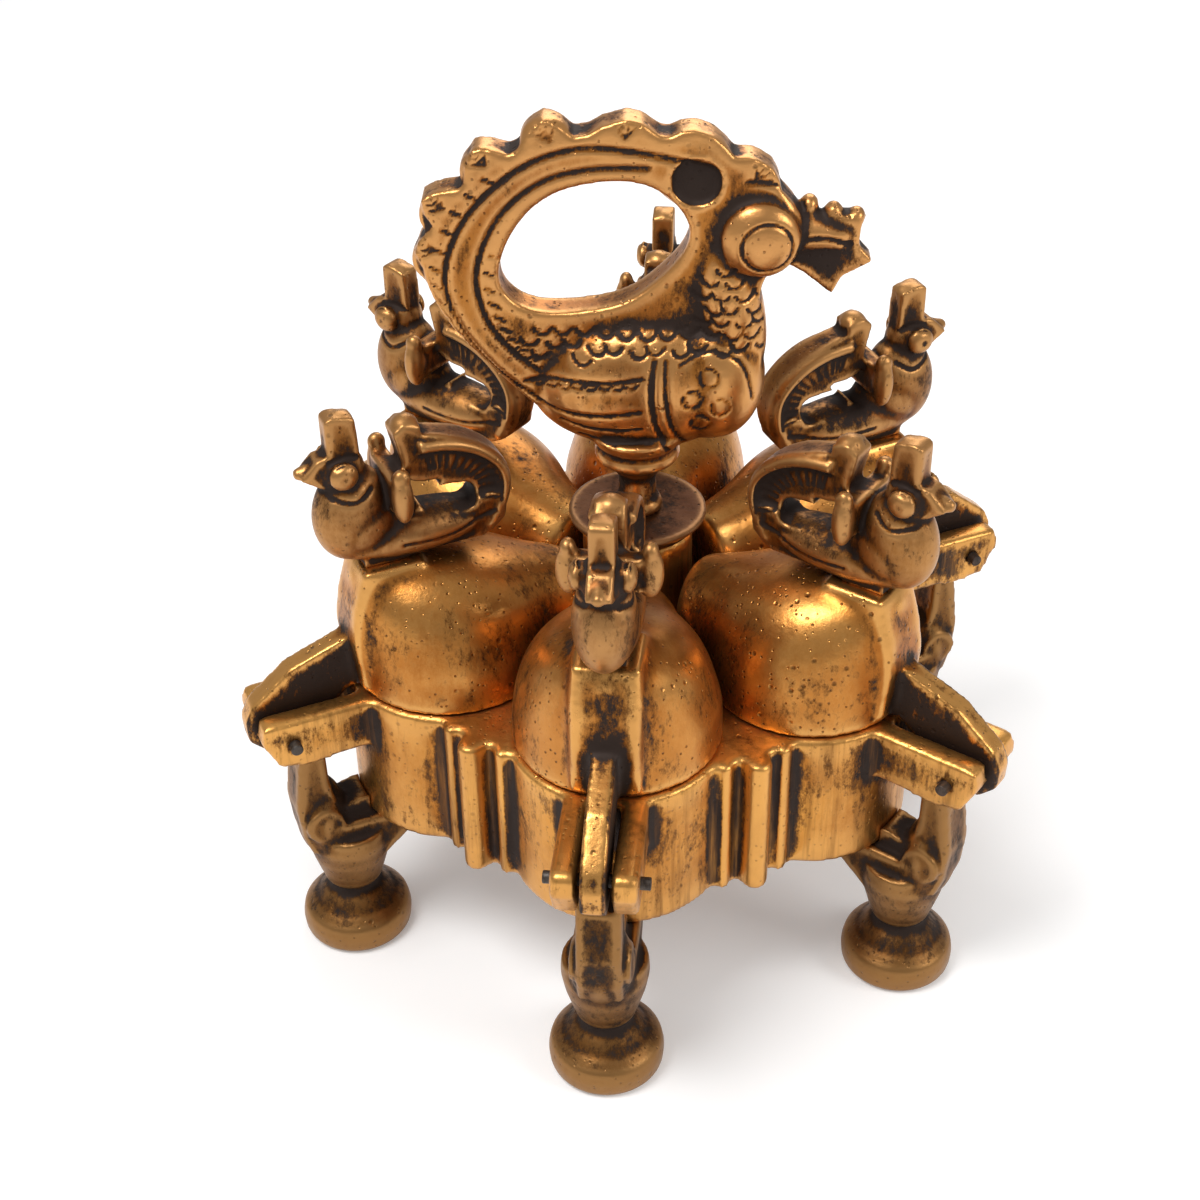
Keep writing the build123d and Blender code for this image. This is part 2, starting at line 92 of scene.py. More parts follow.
def settle(piece: Piece) -> Piece:
    """Put the object's place, turn and scale into its mesh."""
    only(piece)
    bpy.ops.object.transform_apply(location=True, rotation=True, scale=True)
    return piece


def apply_modifier(piece: Piece, kind: str, **settings: object) -> None:
    """Add one modifier and apply it.

    Args:
        piece: The object to change.
        kind: Blender's name of the modifier type.
        settings: Values of the modifier's own settings.
    """
    modifier = piece.modifiers.new(kind.title(), kind)
    for key, value in settings.items():
        setattr(modifier, key, value)
    only(piece)
    bpy.ops.object.modifier_apply(modifier=modifier.name)


def joined(pieces: list[Piece], name: str) -> Piece:
    """Join meshes into the first one and name it.

    Args:
        pieces: The meshes to join.
        name: Name of the joined piece.

    Returns:
        The joined piece.
    """
    only(pieces[0])
    for piece in pieces[1:]:
        piece.select_set(True)
    bpy.ops.object.join()
    pieces[0].name = name
    return pieces[0]


def from_node(node: str, turn: float) -> Piece:
    """Merged copy of a construction solid, turned about the box's axis.

    Args:
        node: Name of the solid.
        turn: Angle about +Z in radians.

    Returns:
        The copy, with its place in its mesh.
    """
    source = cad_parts[node]
    copy = linked(node + " start", source.data.copy())
    copy.data.materials.clear()
    only(copy)
    bpy.ops.object.mode_set(mode="EDIT")
    bpy.ops.mesh.select_all(action="SELECT")
    bpy.ops.mesh.remove_doubles(threshold=0.002 * MM)
    bpy.ops.object.mode_set(mode="OBJECT")
    copy.data.transform(Matrix.Rotation(turn, 4, "Z"))
    return copy


def egg(centre: Point3, size: Point3, tilt: float = 0.0) -> Piece:
    """Egg-shaped swelling.

    Args:
        centre: Its middle.
        size: Full lengths along X, Y and Z.
        tilt: Turn about Y in degrees.

    Returns:
        The swelling as an object.
    """
    bpy.ops.mesh.primitive_uv_sphere_add(
        segments=32,
        ring_count=20,
        radius=0.5 * MM,
        location=[MM * value for value in centre],
        rotation=(0.0, math.radians(tilt), 0.0),
        scale=size,
    )
    return settle(bpy.context.active_object)


def ring(centre: Point3, major: float, minor: float, turn: Point3 = (90.0, 0.0, 0.0)) -> Piece:
    """Round ring, standing on the X-Z plane unless turned.

    Args:
        centre: Its middle.
        major: Radius of the ring's centre line.
        minor: Radius of its section.
        turn: Turns about X, Y and Z in degrees.

    Returns:
        The ring as an object.
    """
    bpy.ops.mesh.primitive_torus_add(
        location=[MM * value for value in centre],
        rotation=[math.radians(value) for value in turn],
        major_radius=major * MM,
        minor_radius=minor * MM,
        major_segments=40,
        minor_segments=12,
    )
    return settle(bpy.context.active_object)


def peg(centre: Point3, radius: float, depth: float, tip: float, turn: Point3) -> Piece:
    """Round peg or blunt cone with softened ends.

    Args:
        centre: Its middle.
        radius: Radius of its root.
        depth: Its length.
        tip: Radius of its tip.
        turn: Turns about X, Y and Z in degrees.

    Returns:
        The peg as an object.
    """
    bpy.ops.mesh.primitive_cone_add(
        vertices=32,
        radius1=radius * MM,
        radius2=tip * MM,
        depth=depth * MM,
        location=[MM * value for value in centre],
        rotation=[math.radians(value) for value in turn],
    )
    piece = settle(bpy.context.active_object)
    apply_modifier(piece, "BEVEL", width=0.25 * min(radius, tip) * MM, segments=3, limit_method="ANGLE")
    return piece


def rod(points: list[Point3], radius: float, closed: bool) -> Piece:
    """Round rod along a smooth line of points.

    Args:
        points: The line.
        radius: Radius of the rod.
        closed: True if the line closes on itself.

    Returns:
        The rod as a mesh object.
    """
    curve = bpy.data.curves.new("rod", "CURVE")
    curve.dimensions = "3D"
    curve.bevel_depth = radius * MM
    curve.bevel_resolution = 4
    curve.use_fill_caps = True
    spline = curve.splines.new("NURBS")
    spline.points.add(len(points) - 1)
    for index, point in enumerate(points):
        spline.points[index].co = (*[MM * value for value in point], 1.0)
    spline.order_u = 3
    spline.use_cyclic_u = closed
    spline.use_endpoint_u = not closed
    piece = linked("rod", curve)
    only(piece)
    bpy.ops.object.convert(target="MESH")
    return bpy.context.active_object


def plate(border: list[Point2], width: float) -> Piece:
    """Flat plate that stands on the X-Z plane, extruded from its border.

    Args:
        border: Its outline as lengths along X and Z.
        width: Its full width along Y.

    Returns:
        The plate as an object.
    """
    mesh = bpy.data.meshes.new("plate")
    corners = [(MM * x, -0.5 * MM * width, MM * z) for x, z in border]
    mesh.from_pydata(corners, [], [tuple(range(len(border)))])
    piece = linked("plate", mesh)
    only(piece)
    bpy.ops.object.mode_set(mode="EDIT")
    bpy.ops.mesh.select_all(action="SELECT")
    bpy.ops.mesh.extrude_region_move(TRANSFORM_OT_translate={"value": (0.0, MM * width, 0.0)})
    bpy.ops.mesh.select_all(action="SELECT")
    bpy.ops.mesh.normals_make_consistent(inside=False)
    bpy.ops.object.mode_set(mode="OBJECT")
    return piece


def cast_together(parts: list[Piece], name: str, grain: float, rounds: int) -> Piece:
    """Fuse overlapping forms into one skin with the soft edges of a casting.

    Args:
        parts: The forms, each one closed.
        name: Name of the cast piece.
        grain: Size of the skin's mesh.
        rounds: How often the skin is smoothed.

    Returns:
        The cast piece.
    """
    piece = joined(parts, name)
    apply_modifier(piece, "REMESH", mode="VOXEL", voxel_size=grain * MM, use_smooth_shade=True)
    apply_modifier(piece, "SMOOTH", factor=0.5, iterations=rounds)
    return piece


def weigh(piece: Piece, name: str, values: np.ndarray) -> None:
    """Keep shares from 0 to 1 per vertex in a vertex group, in twenty steps.

    Args:
        piece: The piece.
        name: Name of the group.
        values: Share of each vertex.
    """
    group = piece.vertex_groups.new(name=name)
    levels = np.round(20 * np.clip(values, 0.0, 1.0)).astype(int)
    for level in range(1, 21):
        group.add(np.where(levels == level)[0].tolist(), level / 20, "REPLACE")


def turned_copy(piece: Piece, name: str, turn: float) -> Piece:
    """Copy with its own mesh, turned about the box's axis."""
    copy = linked(name, piece.data.copy())
    copy.data.transform(Matrix.Rotation(turn, 4, "Z"))
    return copy


# Surface records on the meshes


def positions(piece: Piece) -> np.ndarray:
    """Vertex positions in millimetres."""
    flat = np.empty(3 * len(piece.data.vertices), dtype=np.float32)
    piece.data.vertices.foreach_get("co", flat)
    return flat.reshape(-1, 3) / MM


def normals(piece: Piece) -> np.ndarray:
    """Vertex normals."""
    flat = np.empty(3 * len(piece.data.vertices), dtype=np.float32)
    piece.data.vertex_normals.foreach_get("vector", flat)
    return flat.reshape(-1, 3)


def write_attribute(piece: Piece, name: str, values: np.ndarray) -> None:
    """Keep one number per vertex for the finishes to read."""
    layer = piece.data.attributes.get(name)
    if layer is None:
        layer = piece.data.attributes.new(name, "FLOAT", "POINT")
    layer.data.foreach_set("value", values.astype(np.float32))


def averaged(values: np.ndarray, edges: np.ndarray, rounds: int) -> np.ndarray:
    """Average each vertex's values with its neighbours' again and again.

    Args:
        values: One row per vertex.
        edges: Pairs of vertex numbers.
        rounds: How often the average is taken.

    Returns:
        The averaged rows.
    """
    count = len(values)
    first = np.concatenate([edges[:, 0], edges[:, 1]])
    second = np.concatenate([edges[:, 1], edges[:, 0]])
    links = np.maximum(np.bincount(first, minlength=count), 1)
    for _ in range(rounds):
        columns = [np.bincount(first, weights=column[second], minlength=count) / links for column in values.T]
        values = np.stack(columns, axis=1)
    return values


def record_relief(piece: Piece) -> None:
    """Keep how far each vertex stands out of (+) or lies in (-) the surface round it, at two sizes."""
    edges = np.empty(2 * len(piece.data.edges), dtype=np.int32)
    piece.data.edges.foreach_get("vertices", edges)
    edges = edges.reshape(-1, 2)
    points = positions(piece).astype(np.float64)
    outwards = normals(piece)
    near = averaged(points, edges, 6)
    wide = averaged(near, edges, 70)
    fine = np.sum((points - near) * outwards, axis=1) / 0.12
    broad = np.sum((points - wide) * outwards, axis=1) / 0.9
    write_attribute(piece, "fine", np.clip(fine, -1.0, 1.0))
    write_attribute(piece, "broad", np.clip(broad, -1.0, 1.0))


@dataclass(frozen=True)
class Stroke:
    """One engraved line on the side of a figure.

    Attributes:
        points: The line, as lengths along and up the figure.
        width: Half width of the groove.
        depth: Share of the engraver's full depth.
    """

    points: tuple[Point2, ...]
    width: float = 0.55
    depth: float = 1.0


def bent(points: list[Point2], steps: int = 6) -> tuple[Point2, ...]:
    """Smooth line through a few points.

    Args:
        points: The points it passes through.
        steps: Pieces between two points.

    Returns:
        The denser line.
    """
    dense: list[Point2] = []
    ends = [points[0]] + list(points) + [points[-1]]
    for index in range(len(points) - 1):
        a, b, c, d = (np.array(ends[index + k]) for k in range(4))
        for step in range(steps):
            t = step / steps
            square = (2 * a - 5 * b + 4 * c - d) * t**2
            cube = (3 * b - a - 3 * c + d) * t**3
            spot = 0.5 * (2 * b + (c - a) * t + square + cube)
            dense.append((float(spot[0]), float(spot[1])))
    dense.append(points[-1])
    return tuple(dense)


def bow(centre: Point2, radius: float, start: float, end: float, steps: int = 8) -> tuple[Point2, ...]:
    """Arc of a circle from one angle to another, in degrees."""
    angles = [math.radians(start + (end - start) * step / steps) for step in range(steps + 1)]
    return tuple((centre[0] + radius * math.cos(a), centre[1] + radius * math.sin(a)) for a in angles)


def inside(spot: Point2, border: list[Point2]) -> bool:
    """True if the spot lies within the closed border."""
    crossings = 0
    for index, (x0, y0) in enumerate(border):
        x1, y1 = border[(index + 1) % len(border)]
        if (y0 > spot[1]) != (y1 > spot[1]):
            if spot[0] < x0 + (spot[1] - y0) / (y1 - y0) * (x1 - x0):
                crossings += 1
    return crossings % 2 == 1


def engrave(piece: Piece, strokes: list[Stroke], depth: float, facing: float = 0.35) -> None:
    """Cut grooves into both sides of a figure that stands on the X-Z plane.

    Args:
        piece: The figure.
        strokes: The lines to cut.
        depth: Full depth of a groove.
        facing: Least share by which a spot has to face sideways to be cut.
    """
    points = positions(piece)
    plane = points[:, [0, 2]]
    sideways = np.abs(normals(piece)[:, 1])
    cut = np.zeros(len(points))
    for stroke in strokes:
        line = np.array(stroke.points)
        low = line.min(axis=0) - 3 * stroke.width
        high = line.max(axis=0) + 3 * stroke.width
        near = np.where(np.all((plane > low) & (plane < high), axis=1) & (sideways > facing))[0]
        if len(near) == 0:
            continue
        spots = plane[near]
        gap = np.full(len(near), np.inf)
        for start, end in zip(line[:-1], line[1:]):
            along = end - start
            share = np.clip(((spots - start) @ along) / max(float(along @ along), 1e-9), 0.0, 1.0)
            gap = np.minimum(gap, np.linalg.norm(spots - (start + share[:, None] * along), axis=1))
        cut[near] = np.maximum(cut[near], stroke.depth * np.exp(-((gap / stroke.width) ** 2)))
    write_attribute(piece, "cut", cut)
    weigh(piece, "grooves", cut)
    apply_modifier(piece, "DISPLACE", strength=-depth * MM, mid_level=0.0, vertex_group="grooves")


# Shader groups


class Wiring:
    """A node tree with short ways to add and join its nodes."""

    def __init__(self, tree: bpy.types.NodeTree) -> None:
        """Work on the given tree."""
        self.tree = tree

    def add(self, kind: str, inputs: Inputs | None = None, **settings: object) -> bpy.types.Node:
        """Add one node.

        Args:
            kind: Blender's name of the node type.
            inputs: Values or sockets for its inputs.
            settings: Values of the node's own settings.

        Returns:
            The node.
        """
        node = self.tree.nodes.new(kind)
        for key, value in settings.items():
            setattr(node, key, value)
        for key, value in (inputs or {}).items():
            if isinstance(value, Socket):
                self.join(value, node.inputs[key])
            else:
                node.inputs[key].default_value = value
        return node

    def group(self, name: str, inputs: Inputs) -> bpy.types.bpy_prop_collection:
        """Outputs of one of this file's own shader groups, fed with values or sockets."""
        return self.add("ShaderNodeGroup", inputs, node_tree=bpy.data.node_groups[name]).outputs

    def join(self, source: Socket, target: Socket) -> None:
        """Feed one socket from another."""
        self.tree.links.new(source, target)

    def math(self, operation: str, a: object, b: object = 0.0, clamp: bool = False) -> Socket:
        """Result of one sum on two numbers or sockets."""
        return self.add("ShaderNodeMath", {0: a, 1: b}, operation=operation, use_clamp=clamp).outputs[0]

    def times(self, a: object, b: object, clamp: bool = False) -> Socket:
        """Product of two numbers or sockets."""
        return self.math("MULTIPLY", a, b, clamp)

    def total(self, *terms: object) -> Socket:
        """Sum of numbers or sockets, taken in their order."""
        return reduce(lambda first, second: self.math("ADD", first, second), terms)

    def ramp(self, value: object, low: float, high: float) -> Socket:
        """Smooth step from 0 at low to 1 at high."""
        inputs = {0: value, 1: low, 2: high}
        return self.add("ShaderNodeMapRange", inputs, interpolation_type="SMOOTHSTEP").outputs[0]

    def mix(self, share: object, a: object, b: object) -> Socket:
        """Colour between two colours."""
        return self.add("ShaderNodeMix", {0: share, 6: a, 7: b}, data_type="RGBA").outputs[2]

    def noise(self, where: object, scale: float, detail: float = 4.0, rough: float = 0.6) -> Socket:
        """Value of a cloudy noise."""
        inputs = {"Vector": where, "Scale": scale, "Detail": detail, "Roughness": rough}
        return self.add("ShaderNodeTexNoise", inputs).outputs[0]


def new_group(name: str, inputs: dict[str, str], outputs: dict[str, str]) -> tuple[Wiring, dict, dict]:
    """Start a shader node group.

    Args:
        name: Name of the group.
        inputs: Input names and their socket kinds.
        outputs: Output names and their socket kinds.

    Returns:
        The wiring, the input sockets to read and the output sockets to feed.
    """
    tree = bpy.data.node_groups.new(name, "ShaderNodeTree")
    for title, kind in inputs.items():
        tree.interface.new_socket(title, in_out="INPUT", socket_type="NodeSocket" + kind)
    for title, kind in outputs.items():
        tree.interface.new_socket(title, in_out="OUTPUT", socket_type="NodeSocket" + kind)
    wiring = Wiring(tree)
    source = wiring.add("NodeGroupInput")
    sink = wiring.add("NodeGroupOutput")
    return wiring, source.outputs, sink.inputs


def build_pits_group() -> bpy.types.NodeTree:
    """Scattered round casting pits of two sizes, as a mask."""
    inputs = {"Where": "Vector", "Amount": "Float"}
    wiring, given, wanted = new_group("casting pits", inputs, {"Mask": "Float"})
    crowd = wiring.noise(given["Where"], 60.0, 3.0)
    masks = []
    for scale, share in ((520.0, 0.86), (980.0, 0.74)):
        inputs = {"Vector": given["Where"], "Scale": scale, "Randomness": 1.0}
        cells = wiring.add("ShaderNodeTexVoronoi", inputs)
        shade = wiring.add("ShaderNodeSeparateColor", {0: cells.outputs["Color"]}).outputs[0]
        lucky = wiring.total(shade, wiring.times(wiring.math("SUBTRACT", crowd, 0.5), 0.9))
        chosen = wiring.ramp(lucky, share, share + 0.05)
        hole = wiring.ramp(cells.outputs["Distance"], 0.34, 0.10)
        masks.append(wiring.times(chosen, hole))
    both = wiring.math("MAXIMUM", masks[0], masks[1])
    mask = wiring.times(both, given["Amount"], clamp=True)
    wiring.join(mask, wanted["Mask"])
    return wiring.tree


def build_grime_group() -> bpy.types.NodeTree:
    """Patina in grooves, patina and painted shade in hollows and marked places, raised edges worn bright with
    a painted highlight, as three masks.
    """
    inputs = {"Where": "Vector"}
    inputs |= dict.fromkeys(("Fine", "Broad", "Cut", "Stain", "Patina", "Wear_and_highlight"), "Float")
    outputs = dict.fromkeys(("Brown", "Black", "Rubbed_and_highlit"), "Float")
    wiring, given, wanted = new_group("patina, painted shade, rubbing and highlight", inputs, outputs)
    squeezed = {"Vector": given["Where"], "Scale": (1.0, 1.0, 0.5)}
    run_down = wiring.add("ShaderNodeMapping", squeezed).outputs[0]
    cloud = wiring.math("SUBTRACT", wiring.noise(run_down, 85.0, 9.0, 0.72), 0.5)
    speck = wiring.math("SUBTRACT", wiring.noise(run_down, 650.0, 6.0, 0.8), 0.5)
    # Broad hollows and fine cracks darken, as patina and as painted shade.
    hollow = wiring.times(wiring.math("MINIMUM", given["Broad"], 0.0), -0.60)
    crack = wiring.times(wiring.math("MINIMUM", given["Fine"], 0.0), -0.50)
    broken = wiring.math("ADD", wiring.times(speck, 2.0), 0.62, clamp=True)
    grooves = wiring.times(given["Cut"], broken)
    blotches = (wiring.times(cloud, 3.4), wiring.times(speck, 2.6))
    total = wiring.total(hollow, crack, grooves, given["Stain"], given["Patina"], *blotches)
    # Raised edges lose patina and turn bright: rubbing, and a painted highlight along the edges.
    raised = wiring.math("MAXIMUM", given["Fine"], 0.0)
    proud = wiring.math("MAXIMUM", given["Broad"], 0.0)
    edge = wiring.total(wiring.times(raised, 0.8), wiring.times(proud, 0.6))
    total = wiring.math("SUBTRACT", total, wiring.times(edge, given["Wear_and_highlight"]))
    wiring.join(wiring.ramp(total, -0.12, 0.55), wanted["Brown"])
    wiring.join(wiring.ramp(total, 0.42, 0.74), wanted["Black"])
    shine = wiring.total(edge, wiring.times(speck, 0.9))
    shine = wiring.times(wiring.ramp(shine, 0.10, 0.90), given["Wear_and_highlight"], clamp=True)
    wiring.join(shine, wanted["Rubbed_and_highlit"])
    return wiring.tree


def build_brushing_group() -> bpy.types.NodeTree:
    """Upright streaks left by brushing and by grime that ran down, as a value round 0.5."""
    wiring, given, wanted = new_group("upright brushing", {"Where": "Vector"}, {"Streak": "Float"})
    drawn = wiring.add("ShaderNodeMapping", {"Vector": given["Where"], "Scale": (1.0, 1.0, 0.07)}).outputs[0]
    fine = wiring.noise(drawn, 620.0, 4.0, 0.65)
    broad = wiring.noise(drawn, 150.0, 3.0, 0.6)
    wiring.join(wiring.times(wiring.total(fine, broad), 0.5), wanted["Streak"])
    return wiring.tree


@dataclass(frozen=True)
class Metal:
    """One metal finish of the box.

    Attributes:
        name: Name of the material.
        slot: The record's finish that it belongs to; not used.
        bright: Colour where hands have worn it bright, and of the painted highlight on raised edges.
        body: Its usual colour.
        warm: Redder colour in cloudy patches.
        brown: Colour of its light patina and of light painted shade.
        dark: Colour of its heavy patina and of deep painted shade.
        patina: How much patina lies all over it.
        wear_and_highlight: How strongly raised edges are worn bright and given a painted highlight.
        pits: How strongly it is pitted.
        streaks: How strongly it is streaked up and down.
        gloss: Roughness of the clean metal.
        metallic: Share of metal in the clean surface.
    """

    name: str
    slot: Slot
    bright: Colour = (0.80, 0.43, 0.13, 1.0)
    body: Colour = (0.52, 0.212, 0.044, 1.0)
    warm: Colour = (0.34, 0.110, 0.016, 1.0)
    brown: Colour = (0.125, 0.046, 0.011, 1.0)
    dark: Colour = (0.026, 0.013, 0.008, 1.0)
    patina: float = 0.0
    wear_and_highlight: float = 0.8
    pits: float = 0.8
    streaks: float = 0.0
    gloss: float = 0.33
    metallic: float = 0.94

    def build(self) -> bpy.types.Material:
        """Make the material.

        Returns:
            The material, ready to be put on pieces.
        """
        material = bpy.data.materials.new(self.name)
        material.use_nodes = True
        wiring = Wiring(material.node_tree)
        shader = material.node_tree.nodes["Principled BSDF"]
        where = wiring.add("ShaderNodeTexCoord").outputs["Object"]
        given = {"Where": where, "Patina": self.patina, "Wear_and_highlight": self.wear_and_highlight}
        for title in ("Fine", "Broad", "Cut", "Stain"):
            given[title] = wiring.add("ShaderNodeAttribute", attribute_name=title.lower()).outputs["Fac"]
        masks = wiring.group("patina, painted shade, rubbing and highlight", given)
        # Masks: light and deep patina with painted shade, and worn edges with a painted highlight.
        thin_patina_and_shade, thick_patina_and_shade, rubbed_and_highlit = (masks[title] for title in ("Brown", "Black", "Rubbed_and_highlit"))
        pits = wiring.group("casting pits", {"Where": where, "Amount": self.pits})["Mask"]
        if self.streaks > 0:
            streak = wiring.group("upright brushing", {"Where": where})["Streak"]
            lean = wiring.times(wiring.math("SUBTRACT", streak, 0.5), 6.0 * self.streaks)
            thin_patina_and_shade = wiring.math("ADD", thin_patina_and_shade, lean, clamp=True)
            thick_patina_and_shade = wiring.times(thick_patina_and_shade, wiring.math("ADD", lean, 0.9), clamp=True)
        cloud = wiring.ramp(wiring.noise(where, 38.0, 5.0, 0.6), 0.38, 0.66)
        colour = wiring.mix(cloud, self.body, self.warm)
        # Worn edges and the painted edge highlight lighten the colour towards bright.
        colour = wiring.mix(wiring.times(rubbed_and_highlit, 0.85), colour, self.bright)
        # Patina and painted shade darken the colour towards brown and dark.
        colour = wiring.mix(wiring.times(thin_patina_and_shade, 0.90), colour, self.brown)
        colour = wiring.mix(thick_patina_and_shade, colour, self.dark)
        colour = wiring.mix(wiring.times(pits, 0.70), colour, self.dark)
        smear = wiring.times(wiring.noise(where, 240.0, 5.0, 0.7), 0.26)
        dull = wiring.total(wiring.times(thin_patina_and_shade, 0.10), wiring.times(thick_patina_and_shade, 0.18))
        rough = wiring.total(dull, wiring.total(smear, self.gloss - 0.12))
        rough = wiring.math("SUBTRACT", rough, wiring.times(rubbed_and_highlit, 0.06), clamp=True)
        metal = wiring.math("SUBTRACT", self.metallic, wiring.times(thick_patina_and_shade, 0.45), clamp=True)
        skin = wiring.noise(where, 330.0, 5.0, 0.6)
        grain = wiring.noise(where, 1500.0, 3.0, 0.6)
        height = wiring.total(wiring.times(skin, 0.55), wiring.times(grain, 0.12))
        height = wiring.math("SUBTRACT", height, wiring.times(pits, 0.9))
        if self.streaks > 0:
            height = wiring.total(height, wiring.times(streak, 0.5))
        bump = wiring.add("ShaderNodeBump", {"Strength": 0.5, "Distance": 0.0004, "Height": height})
        for socket, title in ((colour, "Base Color"), (rough, "Roughness"), (metal, "Metallic")):
            wiring.join(socket, shader.inputs[title])
        wiring.join(bump.outputs[0], shader.inputs["Normal"])
        return material

    def coat(self, piece: Piece) -> None:
        """Put this finish on a piece."""
        material = bpy.data.materials.get(self.name) or self.build()
        piece.data.materials.clear()
        piece.data.materials.append(material)


# The box's finishes

LID_BRASS = Metal("rubbed lid brass", Slot.BRASS, patina=0.02, pits=0.9, wear_and_highlight=0.7)
# The wall brass is a lighter copy of the lid brass: its body and warm colours hold a painted reflection of
# the bright floor on the upright walls.
WALL_BRASS = Metal(
    "brushed wall brass",
    Slot.BRASS,
    body=(0.66, 0.298, 0.060, 1.0),
    warm=(0.42, 0.155, 0.026, 1.0),
    patina=0.12, streaks=0.75, pits=0.4, wear_and_highlight=0.6, gloss=0.36,
)
HANDLE_BRASS = Metal(
    "chased handle brass",
    Slot.BRASS,
    bright=(0.72, 0.37, 0.13, 1.0),
    body=(0.45, 0.176, 0.034, 1.0),
    warm=(0.31, 0.100, 0.018, 1.0),
    patina=0.22, pits=0.7, wear_and_highlight=0.8, gloss=0.36,
)
BIRD_BRASS = Metal(
    "dark bird brass",
    Slot.DARK_BRASS,
    bright=(0.54, 0.28, 0.10, 1.0),
    body=(0.26, 0.100, 0.020, 1.0),
    warm=(0.16, 0.050, 0.011, 1.0),
    brown=(0.060, 0.024, 0.009, 1.0),
    patina=0.50, wear_and_highlight=0.9, pits=0.5, gloss=0.44,
)
LEG_BRASS = Metal(
    "olive leg brass",
    Slot.DARK_BRASS,
    bright=(0.38, 0.20, 0.07, 1.0),
    body=(0.19, 0.080, 0.020, 1.0),
    warm=(0.13, 0.050, 0.012, 1.0),
    brown=(0.055, 0.026, 0.011, 1.0),
    patina=0.42, wear_and_highlight=0.8, pits=0.5, gloss=0.44,
)
DISC_PATINA = Metal(
    "dark collar patina",
    Slot.PATINA,
    bright=(0.34, 0.17, 0.07, 1.0),
    body=(0.110, 0.044, 0.017, 1.0),
    warm=(0.080, 0.028, 0.010, 1.0),
    brown=(0.040, 0.018, 0.009, 1.0),
    patina=0.12, wear_and_highlight=0.9, pits=0.8, gloss=0.50, metallic=0.98,
)
NAIL_IRON = Metal(
    "cut iron",
    Slot.IRON,
    bright=(0.22, 0.20, 0.18, 1.0),
    body=(0.085, 0.078, 0.070, 1.0),
    warm=(0.10, 0.055, 0.035, 1.0),
    brown=(0.040, 0.030, 0.024, 1.0),
    dark=(0.016, 0.014, 0.013, 1.0),
    patina=0.10, wear_and_highlight=0.8, pits=1.0, gloss=0.45, metallic=0.75,
)


def finish_piece(
    piece: Piece, body: str, node: str, metal: Metal, stain: np.ndarray | None = None
) -> None:
    """Hand a finished mesh over to its body and coat it.

    Args:
        piece: The piece.
        body: The body that it moves with.
        node: The construction solid that it stands for.
        metal: Its finish.
        stain: Extra patina and painted shade per vertex.
    """
    # Extra patina and painted shade, kept per vertex for the finish to read.
    if stain is not None:
        write_attribute(piece, "stain", stain)
    only(piece)
    bpy.ops.object.shade_smooth()
    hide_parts(node)
    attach(piece, body)
    metal.coat(piece)
    log.info("%s: %d faces on %s", piece.name, len(piece.data.polygons), body)


def band(values: np.ndarray, low: float, high: float) -> np.ndarray:
    """Smooth step from 0 at low to 1 at high, for numbers per vertex."""
    share = np.clip((values - low) / (high - low), 0.0, 1.0)
    return share * share * (3 - 2 * share)


def lobe_frame(points: np.ndarray, turn: float) -> tuple[np.ndarray, np.ndarray]:
    """Lengths outwards and across of points in the frame of one lobe."""
    out = points[:, 0] * math.cos(turn) + points[:, 1] * math.sin(turn)
    across = -points[:, 0] * math.sin(turn) + points[:, 1] * math.cos(turn)
    return out, across


# The box's sub-assemblies


@dataclass
class LobeSet:
    """Pieces that stand once on each lobe, as turned copies of one model on the +X axis.

    Attributes:
        pieces: Pattern of the pieces' names.
        solids: Pattern of the names of the construction solids that they stand for.
        bodies: Pattern of the names of the bodies that they move with.
        metal: Their finish.
    """

    pieces: str
    solids: str
    bodies: str
    metal: Metal

    def model(self) -> Piece:
        """Cast the model.

        Returns:
            The piece on the +X axis, with its relief kept.
        """
        raise NotImplementedError

    def stain(self, out: np.ndarray, across: np.ndarray, height: np.ndarray, lobe: int) -> np.ndarray:
        """Extra patina and painted shade of one copy.

        Args:
            out: Lengths outwards in the lobe's frame, per vertex.
            across: Lengths across in the lobe's frame.
            height: Heights.
            lobe: Number of the lobe, 0 at the front.

        Returns:
            Extra patina and painted shade per vertex.
        """
        raise NotImplementedError

    def build(self) -> None:
        """Place a copy on each lobe and coat it."""
        model = self.model()
        for lobe in range(LOBES):
            turn = FRONT_ANGLE + lobe * LOBE_STEP
            piece = turned_copy(model, self.pieces.format(lobe + 1), turn)
            points = positions(piece)
            stain = self.stain(*lobe_frame(points, turn), points[:, 2], lobe)
            finish_piece(piece, self.bodies.format(lobe + 1), self.solids.format(lobe + 1), self.metal, stain)
        bpy.data.objects.remove(model)


